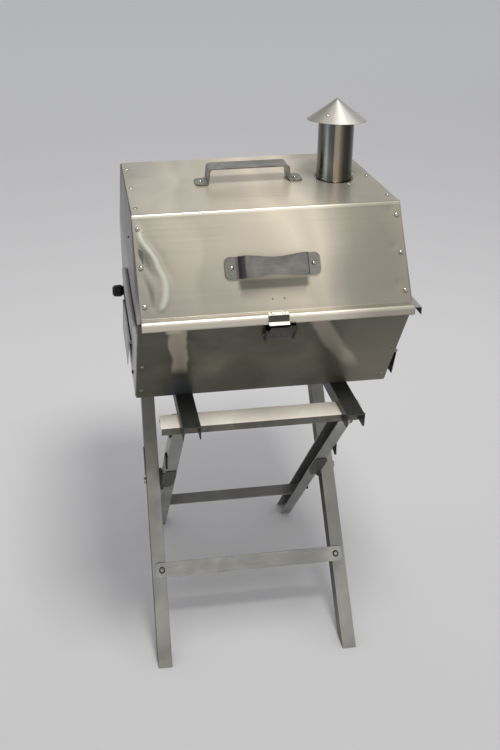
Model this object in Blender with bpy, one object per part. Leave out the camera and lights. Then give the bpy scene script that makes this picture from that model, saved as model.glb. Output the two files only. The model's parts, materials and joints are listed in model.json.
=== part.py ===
import math

import bmesh
import bpy
from mathutils import Matrix, Vector

# Metres. The floor is z = 0, the oven's middle is x = 0, y = 0, and its front faces -Y.

# Sheet work and fits
SHEET = 0.0015
BAR_SHEET = 0.002
SEAT_GAP = 0.0003
RUNNING_GAP = 0.0003
OVERRUN = 0.004
BEND_RADIUS = 0.005
LEDGE_BEND = 0.003
RIVET_RADIUS = 0.0047
RIVET_HEIGHT = 0.0024
RIVET_CROWN_SHARE = 0.55
SMALL_RIVET_SHARE = 0.8

# Oven body, outer faces of the wrapped sheet
HALF_WIDTH = 0.250
WRAP_SETBACK = 0.002
BOTTOM_HEIGHT = 0.655
TUB_DEPTH = 0.215
LID_RISE = 0.170
TOP_HALF_DEPTH = 0.150
JOINT_HALF_DEPTH = 0.240
BOTTOM_HALF_DEPTH = 0.140
SIDE_FLANGE = 0.018
REAR_LID_LIFT = 0.002

# Drip ledge folded along the lid's front edge
LEDGE_RISE = 0.008
LEDGE_REACH = 0.012
LEDGE_LIP = 0.017

# Rows of rivets along the sides, as shares of each face's length
LID_FRONT_RIVET_SHARES = (0.135, 0.49, 0.845)
LID_TOP_RIVET_SHARES = (0.11, 0.475, 0.85)
TUB_FRONT_RIVET_SHARES = (0.55, 0.895)
RIVET_EDGE = 0.009

# Chimney
CHIMNEY_INSET = 0.078
CHIMNEY_Y = -0.007
PIPE_RADIUS = 0.034
PIPE_WALL = 0.0012
PIPE_RISE = 0.110
PIPE_TAIL = 0.018
PIPE_HOLE_GAP = 0.002
PIPE_SIDES = 40
COLLAR_FLANGE = 0.016
COLLAR_RIVET_INSET = 0.0045
COLLAR_RIVET_START = 20
CAP_OVERHANG = 0.024
CAP_CLEAR = 0.010
CAP_RISE = 0.044
CAP_STAY_WIDTH = 0.012
CAP_STAY_OVERLAP = 0.020
CAP_STAY_REACH = 0.012
CAP_STAY_ANGLES = (225, 345, 105)

# Strap handles
STRAP = 0.003
HANDLE_WIDTH = 0.040
HANDLE_FOOT_RADIUS = 0.010
TOP_HANDLE_LEFT = -0.111
TOP_HANDLE_RIGHT = 0.105
TOP_HANDLE_LEG_LEFT = -0.085
TOP_HANDLE_LEG_RIGHT = 0.077
TOP_HANDLE_HEIGHT = 0.035
TOP_HANDLE_SLANT = 0.003
TOP_HANDLE_RIVET_INSET = 0.012
FRONT_HANDLE_LEFT = -0.088
FRONT_HANDLE_RIGHT = 0.087
FRONT_HANDLE_BEND_LEFT = -0.061
FRONT_HANDLE_BEND_RIGHT = 0.062
FRONT_HANDLE_STANDOFF = 0.028
FRONT_HANDLE_SLANT = 0.008
FRONT_HANDLE_DROP = 0.104
FRONT_HANDLE_WAIST = 0.005
FRONT_HANDLE_RIVET_INSET = 0.0125

# Latch
KEEPER_LEFT = -0.019
KEEPER_RIGHT = 0.018
KEEPER_TAIL = 0.011
KEEPER_DROP = 0.012
KEEPER_LIP = 0.006
KEEPER_LIP_FALL = 0.003
LATCH_LEFT = -0.020
LATCH_RIGHT = 0.037
LATCH_TOP_DROP = 0.025
LATCH_LENGTH = 0.032
LATCH_PLATE = 0.002
LATCH_EAR = 0.0045
LATCH_EAR_RISE = 0.012
LATCH_PIN_RADIUS = 0.0015
LATCH_PIN_HEAD = 0.0027
LATCH_PIN_HEAD_LENGTH = 0.0015
LATCH_PIN_STANDOFF = 0.0072
LATCH_PIN_RISE = 0.009
LATCH_KNUCKLE = 0.004
LATCH_CLAW_GAP = 0.004
LATCH_CLAW_PROUD = 0.002

# Rear hinges
HINGE_INSET = 0.100
HINGE_HALF_WIDTH = 0.030
HINGE_MIDDLE = 0.010
HINGE_SETBACK = 0.005
HINGE_RISE = 0.001
HINGE_LEAF = 0.0012
HINGE_LEAF_LENGTH = 0.024
HINGE_CLEAR = 0.0055
KNUCKLE_RADIUS = 0.004
HINGE_PIN_RADIUS = 0.002
HINGE_PIN_HEAD = 0.0035
HINGE_PIN_HEAD_LENGTH = 0.0015

# Side ledges on the tub
SIDE_LEDGE_DROP = 0.004
LEFT_LEDGE_REACH = 0.011
RIGHT_LEDGE_REACH = 0.019
SIDE_LEDGE_LIP = 0.016
SIDE_LEDGE_SETBACK = 0.005
SIDE_LEDGE_LENGTH = 0.235

# Air flaps and the windows behind them
FLAP_LIFT = 0.020
FLAP_HEIGHT = 0.065
FLAP_AXIS_STANDOFF = 0.0036
FLAP_LENGTH = 0.165
FLAP_SLANT = 0.020
LEFT_FLAP_FRONT = -0.075
RIGHT_FLAP_FRONT = -0.172
FLAP_AJAR = 0.0035
FLAP_ROD_RADIUS = 0.0014
FLAP_SHEET = 0.0012
FLAP_LUG = 0.003
FLAP_LUG_RADIUS = 0.0033
WINDOW_TOP_GAP = 0.012
WINDOW_BOTTOM_GAP = 0.015
WINDOW_MARGIN = 0.024
FLAP_STOP_RADIUS = 0.003
FLAP_STOP_INSET = 0.095

# Rotary air vent on the left side
VENT_Y = 0.126
VENT_LIFT = 0.093
VENT_RADIUS = 0.0235
VENT_HOLE_RADIUS = 0.0055
VENT_HOLE_RING = 0.0155
VENT_HOLES = 4
VENT_TURN = 22.5
VENT_SPINDLE_RADIUS = 0.0025
VENT_NUT_RADIUS = 0.006
VENT_NUT_LENGTH = 0.004
KNOB_RADIUS = 0.0135
KNOB_REACH = 0.027
KNOB_NECK_RADIUS = 0.009
KNOB_SHOULDER_SHARE = 0.3
KNOB_ROUND_SHARE = 0.3
KNOB_ROUND_WIDTH_SHARE = 0.92
KNOB_TIP_SHARE = 0.6

# Inside the tub
GRATE_DROP = 0.070
GRATE_SHEET = 0.004
GRATE_SIDE_GAP = 0.004
GRATE_END_GAP = 0.006
GRATE_RIM = 0.010
GRATE_BAR = 0.006
GRATE_BARS = 13
REST_WIDTH = 0.015
REST_END_GAP = 0.0475
TRAY_SIDE_GAP = 0.035
TRAY_END_GAP = 0.010
TRAY_WALL_HEIGHT = 0.030
TRAY_SHEET = 0.0012

# Folding stand
PIVOT_Y = 0.044
PIVOT_HEIGHT = 0.306
LEG_DEPTH = 0.030
LEG_INSET = 0.032
LEG_A_WIDTH = 0.030
LEG_B_WIDTH = 0.026
LEG_SPACING = 0.007
TOP_HINGE_Y = -0.162
PIVOT_BOLT_RADIUS = 0.004
PIVOT_HEAD_RADIUS = 0.0075
PIVOT_HEAD = 0.005
PIVOT_NUT = 0.006
SPACER_LENGTH = 0.046
SPACER_DEPTH = 0.034
SPACER_CHAMFER = 0.010
TOP_BOLT_RADIUS = 0.003
TOP_BOLT_HEAD_RADIUS = 0.007
TOP_BOLT_NUT = 0.005
FRONT_BAR_HEIGHT = 0.159
FRONT_BAR_WIDTH = 0.030
FRONT_BAR_SETBACK = 0.007
FRONT_BAR_CORNER = 0.006
FRONT_BAR_RIVET_INSET = 0.014
REAR_BAR_HEIGHT = 0.152
REAR_BAR_WIDTH = 0.024
REAR_BAR_TAB = 0.020
REAR_TUBE_RADIUS = 0.010
REAR_TUBE_WALL = 0.0015

# Top frame that carries the oven
RAIL_INSET = 0.0095
RAIL_WIDTH = 0.034
RAIL_FLANGE = 0.030
RAIL_FRONT = -0.245
RAIL_BACK = 0.270
RAIL_TIP_RADIUS = 0.008
CROSSBAR_DROP = 0.018
CROSSBAR_FRONT = -0.217
CROSSBAR_BACK = -0.176
CROSSBAR_LIP = 0.0145
CROSSBAR_TAIL = 0.0247
EAR_RADIUS = 0.011

# Heights and widths that follow from the sizes above
WRAP_HALF_WIDTH = HALF_WIDTH - WRAP_SETBACK
JOINT_HEIGHT = BOTTOM_HEIGHT + TUB_DEPTH
TOP_HEIGHT = JOINT_HEIGHT + LID_RISE
LEDGE_HEIGHT = JOINT_HEIGHT + LEDGE_RISE
LEDGE_FRONT = JOINT_HALF_DEPTH + LEDGE_REACH
PIPE_TOP = TOP_HEIGHT + PIPE_RISE
CAP_RIM_HEIGHT = PIPE_TOP + CAP_CLEAR
CAP_RADIUS = PIPE_RADIUS + CAP_OVERHANG
COLLAR_RADIUS = PIPE_RADIUS + COLLAR_FLANGE
SIDE_LEDGE_TOP = JOINT_HEIGHT - SIDE_LEDGE_DROP
FLAP_BOTTOM = BOTTOM_HEIGHT + FLAP_LIFT
FLAP_AXIS_HEIGHT = FLAP_BOTTOM + FLAP_HEIGHT
VENT_HEIGHT = BOTTOM_HEIGHT + VENT_LIFT
GRATE_HEIGHT = JOINT_HEIGHT - GRATE_DROP
CHIMNEY_X = HALF_WIDTH - CHIMNEY_INSET
HINGE_X = HALF_WIDTH - HINGE_INSET
LEG_A_OUTER = HALF_WIDTH - LEG_INSET
LEG_A_INNER = LEG_A_OUTER - LEG_A_WIDTH
LEG_B_OUTER = LEG_A_INNER - LEG_SPACING
LEG_B_INNER = LEG_B_OUTER - LEG_B_WIDTH
RAIL_OUTER = LEG_B_OUTER - RAIL_INSET
RAIL_INNER = RAIL_OUTER - RAIL_WIDTH
RAIL_TOP = BOTTOM_HEIGHT - SEAT_GAP
RAIL_BOTTOM = RAIL_TOP - RAIL_FLANGE
CROSSBAR_TOP = BOTTOM_HEIGHT - CROSSBAR_DROP

# Maps the outline's plane and the direction of its extrusion to world axes.
SIDE_VIEW = Matrix(((0, 0, 1, 0), (1, 0, 0, 0), (0, 1, 0, 0), (0, 0, 0, 1)))
FRONT_VIEW = Matrix(((1, 0, 0, 0), (0, 0, -1, 0), (0, 1, 0, 0), (0, 0, 0, 1)))
PLAN_VIEW = Matrix.Identity(4)

SMOOTH_ANGLE = math.radians(35)

materials = {}
joint_axes = {}


def clear_scene():
    for old_object in list(bpy.data.objects):
        bpy.data.objects.remove(old_object, do_unlink=True)


def add_material(name, colour, roughness, metallic):
    material = bpy.data.materials.new(name)
    material.use_nodes = True
    shader = material.node_tree.nodes["Principled BSDF"]
    shader.inputs["Base Color"].default_value = (*colour, 1)
    shader.inputs["Roughness"].default_value = roughness
    shader.inputs["Metallic"].default_value = metallic
    materials[name] = material


def add_joint_axis(name, place, parent=None):
    axis = bpy.data.objects.new(name, None)
    axis.empty_display_size = LEG_DEPTH
    bpy.context.scene.collection.objects.link(axis)
    axis.matrix_world = Matrix.Translation(place)
    joint_axes[name] = axis
    if parent:
        attach(axis, parent)
    bpy.context.view_layer.update()


def attach(child, axis_name):
    parent = joint_axes[axis_name]
    child.parent = parent
    child.matrix_parent_inverse = parent.matrix_world.inverted()


def frame(origin, up, side=1):
    """x along the width, y up the face, z out of it."""
    width_axis = Vector((side, 0, 0))
    up_axis = Vector(up).normalized()
    out_axis = width_axis.cross(up_axis)
    matrix = Matrix.Identity(4)
    for column, axis in enumerate((width_axis, up_axis, out_axis, Vector(origin))):
        for row in range(3):
            matrix[row][column] = axis[row]
    return matrix


def place(x, y, z):
    return Matrix.Translation((x, y, z))


def add_slab(bm, outline, low, high, matrix):
    """Closed prism of a flat outline, extruded between two levels."""
    lower = [bm.verts.new(matrix @ Vector((u, v, low))) for u, v in outline]
    upper = [bm.verts.new(matrix @ Vector((u, v, high))) for u, v in outline]
    faces = [bm.faces.new(lower[::-1]), bm.faces.new(upper)]
    for index in range(len(outline)):
        after = (index + 1) % len(outline)
        faces.append(bm.faces.new((lower[index], lower[after], upper[after], upper[index])))
    bmesh.ops.recalc_face_normals(bm, faces=faces)
    return bm


def add_turned(bm, profile, matrix, segments=24, closed=False):
    """Solid of revolution of (radius, height) points; a closed profile makes a ring."""
    rings = []
    for radius, height in profile:
        if radius == 0:
            rings.append([bm.verts.new(matrix @ Vector((0, 0, height)))])
            continue
        ring = []
        for step in range(segments):
            angle = math.tau * step / segments
            point = Vector((radius * math.cos(angle), radius * math.sin(angle), height))
            ring.append(bm.verts.new(matrix @ point))
        rings.append(ring)
    pairs = list(zip(rings, rings[1:]))
    faces = []
    if closed:
        pairs.append((rings[-1], rings[0]))
    for ring, following in pairs:
        for step in range(segments):
            after = (step + 1) % segments
            corners = [ring[step % len(ring)], ring[after % len(ring)]]
            corners += [following[after % len(following)], following[step % len(following)]]
            unique = list(dict.fromkeys(corners))
            faces.append(bm.faces.new(unique))
    if not closed:
        for ring in (rings[0], rings[-1]):
            if len(ring) > 1:
                faces.append(bm.faces.new(ring))
    bmesh.ops.recalc_face_normals(bm, faces=faces)
    return bm


def add_rod(bm, radius, low, high, matrix, segments=16):
    return add_turned(bm, [(radius, low), (radius, high)], matrix, segments)


def add_rivet(bm, matrix, radius=RIVET_RADIUS, height=RIVET_HEIGHT):
    crown = radius * RIVET_CROWN_SHARE
    profile = [(radius, -SHEET / 2), (radius, height / 3), (crown, height)]
    return add_turned(bm, profile, matrix, 8)


def add_strap(bm, path, widths, thickness, matrix):
    """Flat bar bent along (along, out) points, with its own width at each of them."""
    outer = offset_chain(path, -thickness)
    sections = []
    for low_point, high_point, width in zip(path, outer, widths):
        section = []
        for point, half in ((low_point, -1), (low_point, 1), (high_point, 1), (high_point, -1)):
            corner = Vector((point[0], point[1], half * width / 2))
            section.append(bm.verts.new(matrix @ corner))
        sections.append(section)
    faces = [bm.faces.new(sections[0]), bm.faces.new(sections[-1])]
    for section, following in zip(sections, sections[1:]):
        for side in range(4):
            after = (side + 1) % 4
            corners = (section[side], section[after], following[after], following[side])
            faces.append(bm.faces.new(corners))
    bmesh.ops.recalc_face_normals(bm, faces=faces)
    return bm


def offset_chain(chain, distance):
    """Copy of an open chain of points, moved to the right of its direction."""
    moved = []
    for index, point in enumerate(chain):
        normals = []
        for start, end in ((index - 1, index), (index, index + 1)):
            if start >= 0 and end < len(chain):
                run = Vector(chain[end]) - Vector(chain[start])
                normals.append(Vector((run.y, -run.x)).normalized())
        if len(normals) == 1:
            shift = normals[0] * distance
        else:
            total = normals[0] + normals[1]
            shift = total * (2 * distance / total.length_squared)
        moved.append((point[0] + shift.x, point[1] + shift.y))
    return moved


def round_chain(chain, radii, steps=3):
    """Replaces the inner corners of an open chain by arcs of the given radii."""
    rounded = [tuple(chain[0])]
    for index in range(1, len(chain) - 1):
        corner = Vector(chain[index])
        back = (Vector(chain[index - 1]) - corner).normalized()
        ahead = (Vector(chain[index + 1]) - corner).normalized()
        half_angle = back.angle(ahead) / 2
        radius = radii[index - 1]
        centre = corner + (back + ahead).normalized() * (radius / math.sin(half_angle))
        first = corner + back * (radius / math.tan(half_angle)) - centre
        turn = Vector((first.x, first.y)).angle_signed(
            corner + ahead * (radius / math.tan(half_angle)) - centre)
        for step in range(steps + 1):
            angle = -turn * step / steps
            cosine, sine = math.cos(angle), math.sin(angle)
            rounded.append((centre.x + first.x * cosine - first.y * sine,
                            centre.y + first.x * sine + first.y * cosine))
    rounded.append(tuple(chain[-1]))
    return rounded


def band(chain, thickness):
    """Outline of a bent sheet whose outer face follows the chain."""
    return list(chain) + offset_chain(chain, thickness)[::-1]


def arc(centre, radius, start, end, steps):
    points = []
    for step in range(steps + 1):
        angle = math.radians(start + (end - start) * step / steps)
        points.append((centre[0] + radius * math.cos(angle), centre[1] + radius * math.sin(angle)))
    return points


def box_outline(x_low, x_high, y_low, y_high):
    return [(x_low, y_low), (x_high, y_low), (x_high, y_high), (x_low, y_high)]


def finish_object(name, bm, material, parent, smooth=False):
    mesh = bpy.data.meshes.new(name)
    bm.to_mesh(mesh)
    bm.free()
    mesh.materials.append(materials[material])
    if smooth:
        mesh.shade_smooth()
        mesh.set_sharp_from_angle(angle=SMOOTH_ANGLE)
    new_object = bpy.data.objects.new(name, mesh)
    bpy.context.scene.collection.objects.link(new_object)
    if parent:
        attach(new_object, parent)
    return new_object


def shape_with(target, tool_bm, operation):
    """Boolean of a piece with a hidden tool body."""
    mesh = bpy.data.meshes.new(f"{target.name}_{operation.lower()}")
    tool_bm.to_mesh(mesh)
    tool_bm.free()
    tool = bpy.data.objects.new(mesh.name, mesh)
    bpy.context.scene.collection.objects.link(tool)
    tool.hide_render = True
    tool.display_type = "WIRE"
    tool.parent = target.parent
    tool.matrix_parent_inverse = target.matrix_parent_inverse.copy()
    modifier = target.modifiers.new(operation.title(), "BOOLEAN")
    modifier.operation = operation
    modifier.solver = "EXACT"
    modifier.object = tool


def cut(target, tool_bm):
    shape_with(target, tool_bm, "DIFFERENCE")


def join(target, tool_bm):
    shape_with(target, tool_bm, "UNION")


# Faces of the oven body
LID_SLOPE = Vector((0, TOP_HALF_DEPTH - JOINT_HALF_DEPTH, TOP_HEIGHT - JOINT_HEIGHT))
TUB_SLOPE = Vector((0, JOINT_HALF_DEPTH - BOTTOM_HALF_DEPTH, JOINT_HEIGHT - BOTTOM_HEIGHT))


def front_of_lid(drop):
    """Frame on the lid's front face, at a distance below its top edge."""
    up = Vector((0, -LID_SLOPE.y, LID_SLOPE.z)).normalized()
    return frame(Vector((0, -TOP_HALF_DEPTH, TOP_HEIGHT)) - up * drop, up)


def front_of_tub(drop):
    up = Vector((0, -TUB_SLOPE.y, TUB_SLOPE.z)).normalized()
    return frame(Vector((0, -JOINT_HALF_DEPTH, JOINT_HEIGHT)) - up * drop, up)


def back_of_lid(drop):
    up = Vector((0, LID_SLOPE.y, LID_SLOPE.z)).normalized()
    return frame(Vector((0, TOP_HALF_DEPTH, TOP_HEIGHT)) - up * drop, up, -1)


def back_of_tub(drop):
    up = Vector((0, TUB_SLOPE.y, TUB_SLOPE.z)).normalized()
    return frame(Vector((0, JOINT_HALF_DEPTH, JOINT_HEIGHT)) - up * drop, up, -1)


def lid_half_depth(height):
    """Half depth of the lid's outer face at a height."""
    share = (TOP_HEIGHT - height) / (TOP_HEIGHT - JOINT_HEIGHT)
    return TOP_HALF_DEPTH + share * (JOINT_HALF_DEPTH - TOP_HALF_DEPTH)


def tub_half_depth(height):
    share = (JOINT_HEIGHT - height) / (JOINT_HEIGHT - BOTTOM_HEIGHT)
    return JOINT_HALF_DEPTH + share * (BOTTOM_HALF_DEPTH - JOINT_HALF_DEPTH)


LID_EDGE = JOINT_HEIGHT + SEAT_GAP
SIDE_INSET = SHEET + SEAT_GAP


def level_ends(chain, height):
    """Slides both ends of a chain along their runs to one height."""
    levelled = list(chain)
    for end, beside in ((0, 1), (-1, -2)):
        (y, z), (inner_y, inner_z) = chain[end], chain[beside]
        levelled[end] = (y + (inner_y - y) * (height - z) / (inner_z - z), height)
    return levelled


def lid_arch(inset, edge):
    """Chain over the lid from front to back, inside its outer face by an inset."""
    corners = [(-lid_half_depth(edge), edge), (-TOP_HALF_DEPTH, TOP_HEIGHT)]
    corners += [(TOP_HALF_DEPTH, TOP_HEIGHT), (lid_half_depth(edge), edge)]
    return level_ends(offset_chain(round_chain(corners, (BEND_RADIUS, BEND_RADIUS)), inset), edge)


def tub_arch(inset, edge):
    """Chain under the tub from back to front, inside its outer face by an inset."""
    corners = [(tub_half_depth(edge), edge), (BOTTOM_HALF_DEPTH, BOTTOM_HEIGHT)]
    corners += [(-BOTTOM_HALF_DEPTH, BOTTOM_HEIGHT), (-tub_half_depth(edge), edge)]
    return level_ends(offset_chain(round_chain(corners, (BEND_RADIUS, BEND_RADIUS)), inset), edge)


def add_side_plate(name, arch, edge, direction, parent, material):
    """End plate with flanges turned in under the wrapped sheet, open along its straight edge."""
    inner = HALF_WIDTH - SIDE_FLANGE
    outer_chain = arch(SIDE_INSET, edge)
    plate = finish_object(
        name, add_slab(bmesh.new(), outer_chain, direction * inner, direction * HALF_WIDTH, SIDE_VIEW),
        material, parent)
    past = edge + (OVERRUN if arch is tub_arch else -OVERRUN)
    cavity = add_slab(bmesh.new(), arch(SIDE_INSET + SHEET, past), direction * (inner - OVERRUN),
                      direction * (HALF_WIDTH - SHEET), SIDE_VIEW)
    cut(plate, cavity)
    return plate


def rivet_rows(bm, face, length, shares):
    for share in shares:
        for direction in (-1, 1):
            x = direction * (WRAP_HALF_WIDTH - RIVET_EDGE)
            add_rivet(bm, face(length * share) @ place(x, 0, 0))


def make_lid_shell():
    slope_y = lid_half_depth(LEDGE_HEIGHT)
    corners = [(-LEDGE_FRONT, LEDGE_HEIGHT - LEDGE_LIP), (-LEDGE_FRONT, LEDGE_HEIGHT)]
    corners += [(-slope_y, LEDGE_HEIGHT), (-TOP_HALF_DEPTH, TOP_HEIGHT), (TOP_HALF_DEPTH, TOP_HEIGHT)]
    back_edge = JOINT_HEIGHT + REAR_LID_LIFT
    corners.append((lid_half_depth(back_edge), back_edge))
    radii = (LEDGE_BEND, LEDGE_BEND, BEND_RADIUS, BEND_RADIUS)
    outline = band(round_chain(corners, radii), SHEET)
    shell = finish_object(
        "lid_shell", add_slab(bmesh.new(), outline, -WRAP_HALF_WIDTH, WRAP_HALF_WIDTH, SIDE_VIEW),
        "brushed_steel", "lid_axis")
    hole = add_rod(bmesh.new(), PIPE_RADIUS + PIPE_HOLE_GAP, -SHEET - OVERRUN, OVERRUN,
                   place(CHIMNEY_X, CHIMNEY_Y, TOP_HEIGHT), 32)
    cut(shell, hole)
    rivets = bmesh.new()
    length = LID_SLOPE.length
    rivet_rows(rivets, front_of_lid, length, LID_FRONT_RIVET_SHARES)
    rivet_rows(rivets, back_of_lid, length, LID_FRONT_RIVET_SHARES)
    for share in LID_TOP_RIVET_SHARES:
        for direction in (-1, 1):
            x = direction * (WRAP_HALF_WIDTH - RIVET_EDGE)
            add_rivet(rivets, place(x, TOP_HALF_DEPTH * (2 * share - 1), TOP_HEIGHT))
    ring = COLLAR_RADIUS - COLLAR_RIVET_INSET
    for quarter in range(4):
        angle = math.radians(COLLAR_RIVET_START + 90 * quarter)
        x = CHIMNEY_X + ring * math.cos(angle)
        y = CHIMNEY_Y + ring * math.sin(angle)
        add_rivet(rivets, place(x, y, TOP_HEIGHT), RIVET_RADIUS * SMALL_RIVET_SHARE)
    join(shell, rivets)


def make_tub_shell():
    outline = tub_arch(0, JOINT_HEIGHT) + tub_arch(SHEET, JOINT_HEIGHT)[::-1]
    shell = finish_object(
        "tub_shell", add_slab(bmesh.new(), outline, -WRAP_HALF_WIDTH, WRAP_HALF_WIDTH, SIDE_VIEW),
        "brushed_steel", "oven_seat")
    rivets = bmesh.new()
    rivet_rows(rivets, front_of_tub, TUB_SLOPE.length, TUB_FRONT_RIVET_SHARES)
    rivet_rows(rivets, back_of_tub, TUB_SLOPE.length, TUB_FRONT_RIVET_SHARES)
    join(shell, rivets)


def make_sides():
    for name, direction in (("left", -1), ("right", 1)):
        add_side_plate(f"lid_side_{name}", lid_arch, LID_EDGE, direction, "lid_axis", "side_steel")
        side = add_side_plate(f"tub_side_{name}", tub_arch, JOINT_HEIGHT, direction, "oven_seat",
                              "side_steel")
        window = bmesh.new()
        flap_front = LEFT_FLAP_FRONT if direction < 0 else RIGHT_FLAP_FRONT
        front, back = flap_front + WINDOW_MARGIN, flap_front + FLAP_LENGTH - WINDOW_MARGIN
        inner, outer = HALF_WIDTH - SHEET - OVERRUN, HALF_WIDTH + OVERRUN
        low, high = FLAP_BOTTOM + WINDOW_BOTTOM_GAP, FLAP_AXIS_HEIGHT - WINDOW_TOP_GAP
        add_slab(window, box_outline(front, back, low, high), direction * inner, direction * outer,
                 SIDE_VIEW)
        if direction < 0:
            add_vent_holes(window, -outer, -inner, 0)
        cut(side, window)
        stop = bmesh.new()
        stop_height = FLAP_BOTTOM + 2 * FLAP_STOP_RADIUS
        low = direction * (HALF_WIDTH - SHEET / 2)
        high = direction * (HALF_WIDTH + flap_stop_rise(stop_height))
        add_rod(stop, FLAP_STOP_RADIUS, low, high,
                place(0, flap_front + FLAP_STOP_INSET, stop_height) @ SIDE_VIEW, 10)
        join(side, stop)


def flap_stop_rise(height):
    """How far a stop stands out before it would touch the flap's inner face."""
    share = (FLAP_AXIS_HEIGHT - height) / (FLAP_AXIS_HEIGHT - FLAP_BOTTOM)
    middle = FLAP_AXIS_STANDOFF + share * FLAP_AJAR
    return middle - FLAP_SHEET - SEAT_GAP


def add_vent_holes(bm, low, high, turn):
    centre = place(0, VENT_Y, VENT_HEIGHT) @ SIDE_VIEW
    for index in range(VENT_HOLES):
        angle = math.radians(turn + 360 * index / VENT_HOLES)
        y, z = VENT_HOLE_RING * math.cos(angle), VENT_HOLE_RING * math.sin(angle)
        add_rod(bm, VENT_HOLE_RADIUS, low, high, centre @ place(y, z, 0), 12)
    add_rod(bm, VENT_SPINDLE_RADIUS + RUNNING_GAP, low, high, centre, 12)


def make_vent():
    centre = place(0, VENT_Y, VENT_HEIGHT) @ SIDE_VIEW
    face = HALF_WIDTH + SEAT_GAP
    disc = finish_object(
        "vent_disc", add_rod(bmesh.new(), VENT_RADIUS, -face - SHEET, -face, centre, 32),
        "side_steel", "vent_axis", smooth=True)
    holes = bmesh.new()
    add_vent_holes(holes, -face - SHEET - OVERRUN, -face + OVERRUN, VENT_TURN)
    cut(disc, holes)
    knob_base = face + SHEET + SEAT_GAP
    knob_end = HALF_WIDTH + KNOB_REACH
    shoulder = knob_base + (knob_end - knob_base) * KNOB_SHOULDER_SHARE
    crown = (KNOB_RADIUS * KNOB_ROUND_WIDTH_SHARE, KNOB_RADIUS * KNOB_ROUND_SHARE - knob_end)
    plate_back = HALF_WIDTH - SHEET - SEAT_GAP
    profile = [(0, -knob_end), (KNOB_RADIUS * KNOB_TIP_SHARE, -knob_end), crown]
    profile += [(KNOB_RADIUS, -shoulder), (KNOB_NECK_RADIUS, -knob_base)]
    profile += [(VENT_SPINDLE_RADIUS, -knob_base), (VENT_SPINDLE_RADIUS, -plate_back)]
    profile += [(VENT_NUT_RADIUS, -plate_back), (VENT_NUT_RADIUS, -plate_back + VENT_NUT_LENGTH)]
    profile += [(0, -plate_back + VENT_NUT_LENGTH)]
    finish_object("vent_knob", add_turned(bmesh.new(), profile, centre, 20), "black_plastic",
                  "vent_axis", smooth=True)


def make_air_flaps():
    for name, direction, front in (("left", -1, LEFT_FLAP_FRONT), ("right", 1, RIGHT_FLAP_FRONT)):
        back = front + FLAP_LENGTH
        axis_x = HALF_WIDTH + FLAP_AXIS_STANDOFF
        eye = FLAP_ROD_RADIUS + RUNNING_GAP + FLAP_SHEET
        bottom_x = axis_x + FLAP_AJAR
        curl = arc((axis_x, FLAP_AXIS_HEIGHT), eye, 215, 0, 8)
        chain = curl + [(bottom_x + FLAP_SHEET, FLAP_BOTTOM)]
        outline = [(direction * x, z) for x, z in band(chain, FLAP_SHEET)]
        flap = finish_object(
            f"air_flap_{name}", add_slab(bmesh.new(), outline, -back, -front, FRONT_VIEW),
            "dark_steel", f"flap_axis_{name}")
        below, under_eye = FLAP_BOTTOM - OVERRUN, FLAP_AXIS_HEIGHT - 2 * eye
        corner = [(front - OVERRUN, under_eye), (front - OVERRUN, below), (front + FLAP_SLANT, below)]
        corner.append((front, under_eye))
        cut(flap, add_slab(bmesh.new(), corner, direction * HALF_WIDTH,
                           direction * (bottom_x + 2 * FLAP_SHEET), SIDE_VIEW))
        rod = bmesh.new()
        centre = place(direction * axis_x, 0, FLAP_AXIS_HEIGHT) @ FRONT_VIEW
        low, high = -back - RUNNING_GAP, -front + RUNNING_GAP
        add_rod(rod, FLAP_ROD_RADIUS, low - FLAP_LUG, high + FLAP_LUG, centre, 10)
        hinge_rod = finish_object(f"flap_rod_{name}", rod, "dark_steel", "oven_seat", smooth=True)
        face = HALF_WIDTH + SEAT_GAP
        outline = [(face, FLAP_AXIS_HEIGHT - FLAP_LUG_RADIUS)]
        outline.append((face, FLAP_AXIS_HEIGHT + FLAP_LUG_RADIUS))
        outline += arc((axis_x, FLAP_AXIS_HEIGHT), FLAP_LUG_RADIUS, 75, -75, 5)
        outline = [(direction * x, z) for x, z in outline]
        lugs = bmesh.new()
        for start in (low - FLAP_LUG, high):
            add_slab(lugs, outline, start, start + FLAP_LUG, FRONT_VIEW)
        join(hinge_rod, lugs)


def make_side_ledges():
    for name, direction, ledge in (("left", -1, LEFT_LEDGE_REACH), ("right", 1, RIGHT_LEDGE_REACH)):
        face = HALF_WIDTH + SEAT_GAP
        reach = HALF_WIDTH + ledge
        bottom = SIDE_LEDGE_TOP - SIDE_LEDGE_LIP
        corners = [(face, bottom), (face, SIDE_LEDGE_TOP), (reach, SIDE_LEDGE_TOP), (reach, bottom)]
        chain = round_chain(corners, (LEDGE_BEND, LEDGE_BEND), 2)
        outline = [(direction * x, z) for x, z in band(chain, SHEET)]
        front = JOINT_HALF_DEPTH - SIDE_LEDGE_SETBACK
        finish_object(
            f"side_ledge_{name}",
            add_slab(bmesh.new(), outline, front - SIDE_LEDGE_LENGTH, front, FRONT_VIEW),
            "side_steel", "oven_seat")


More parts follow.
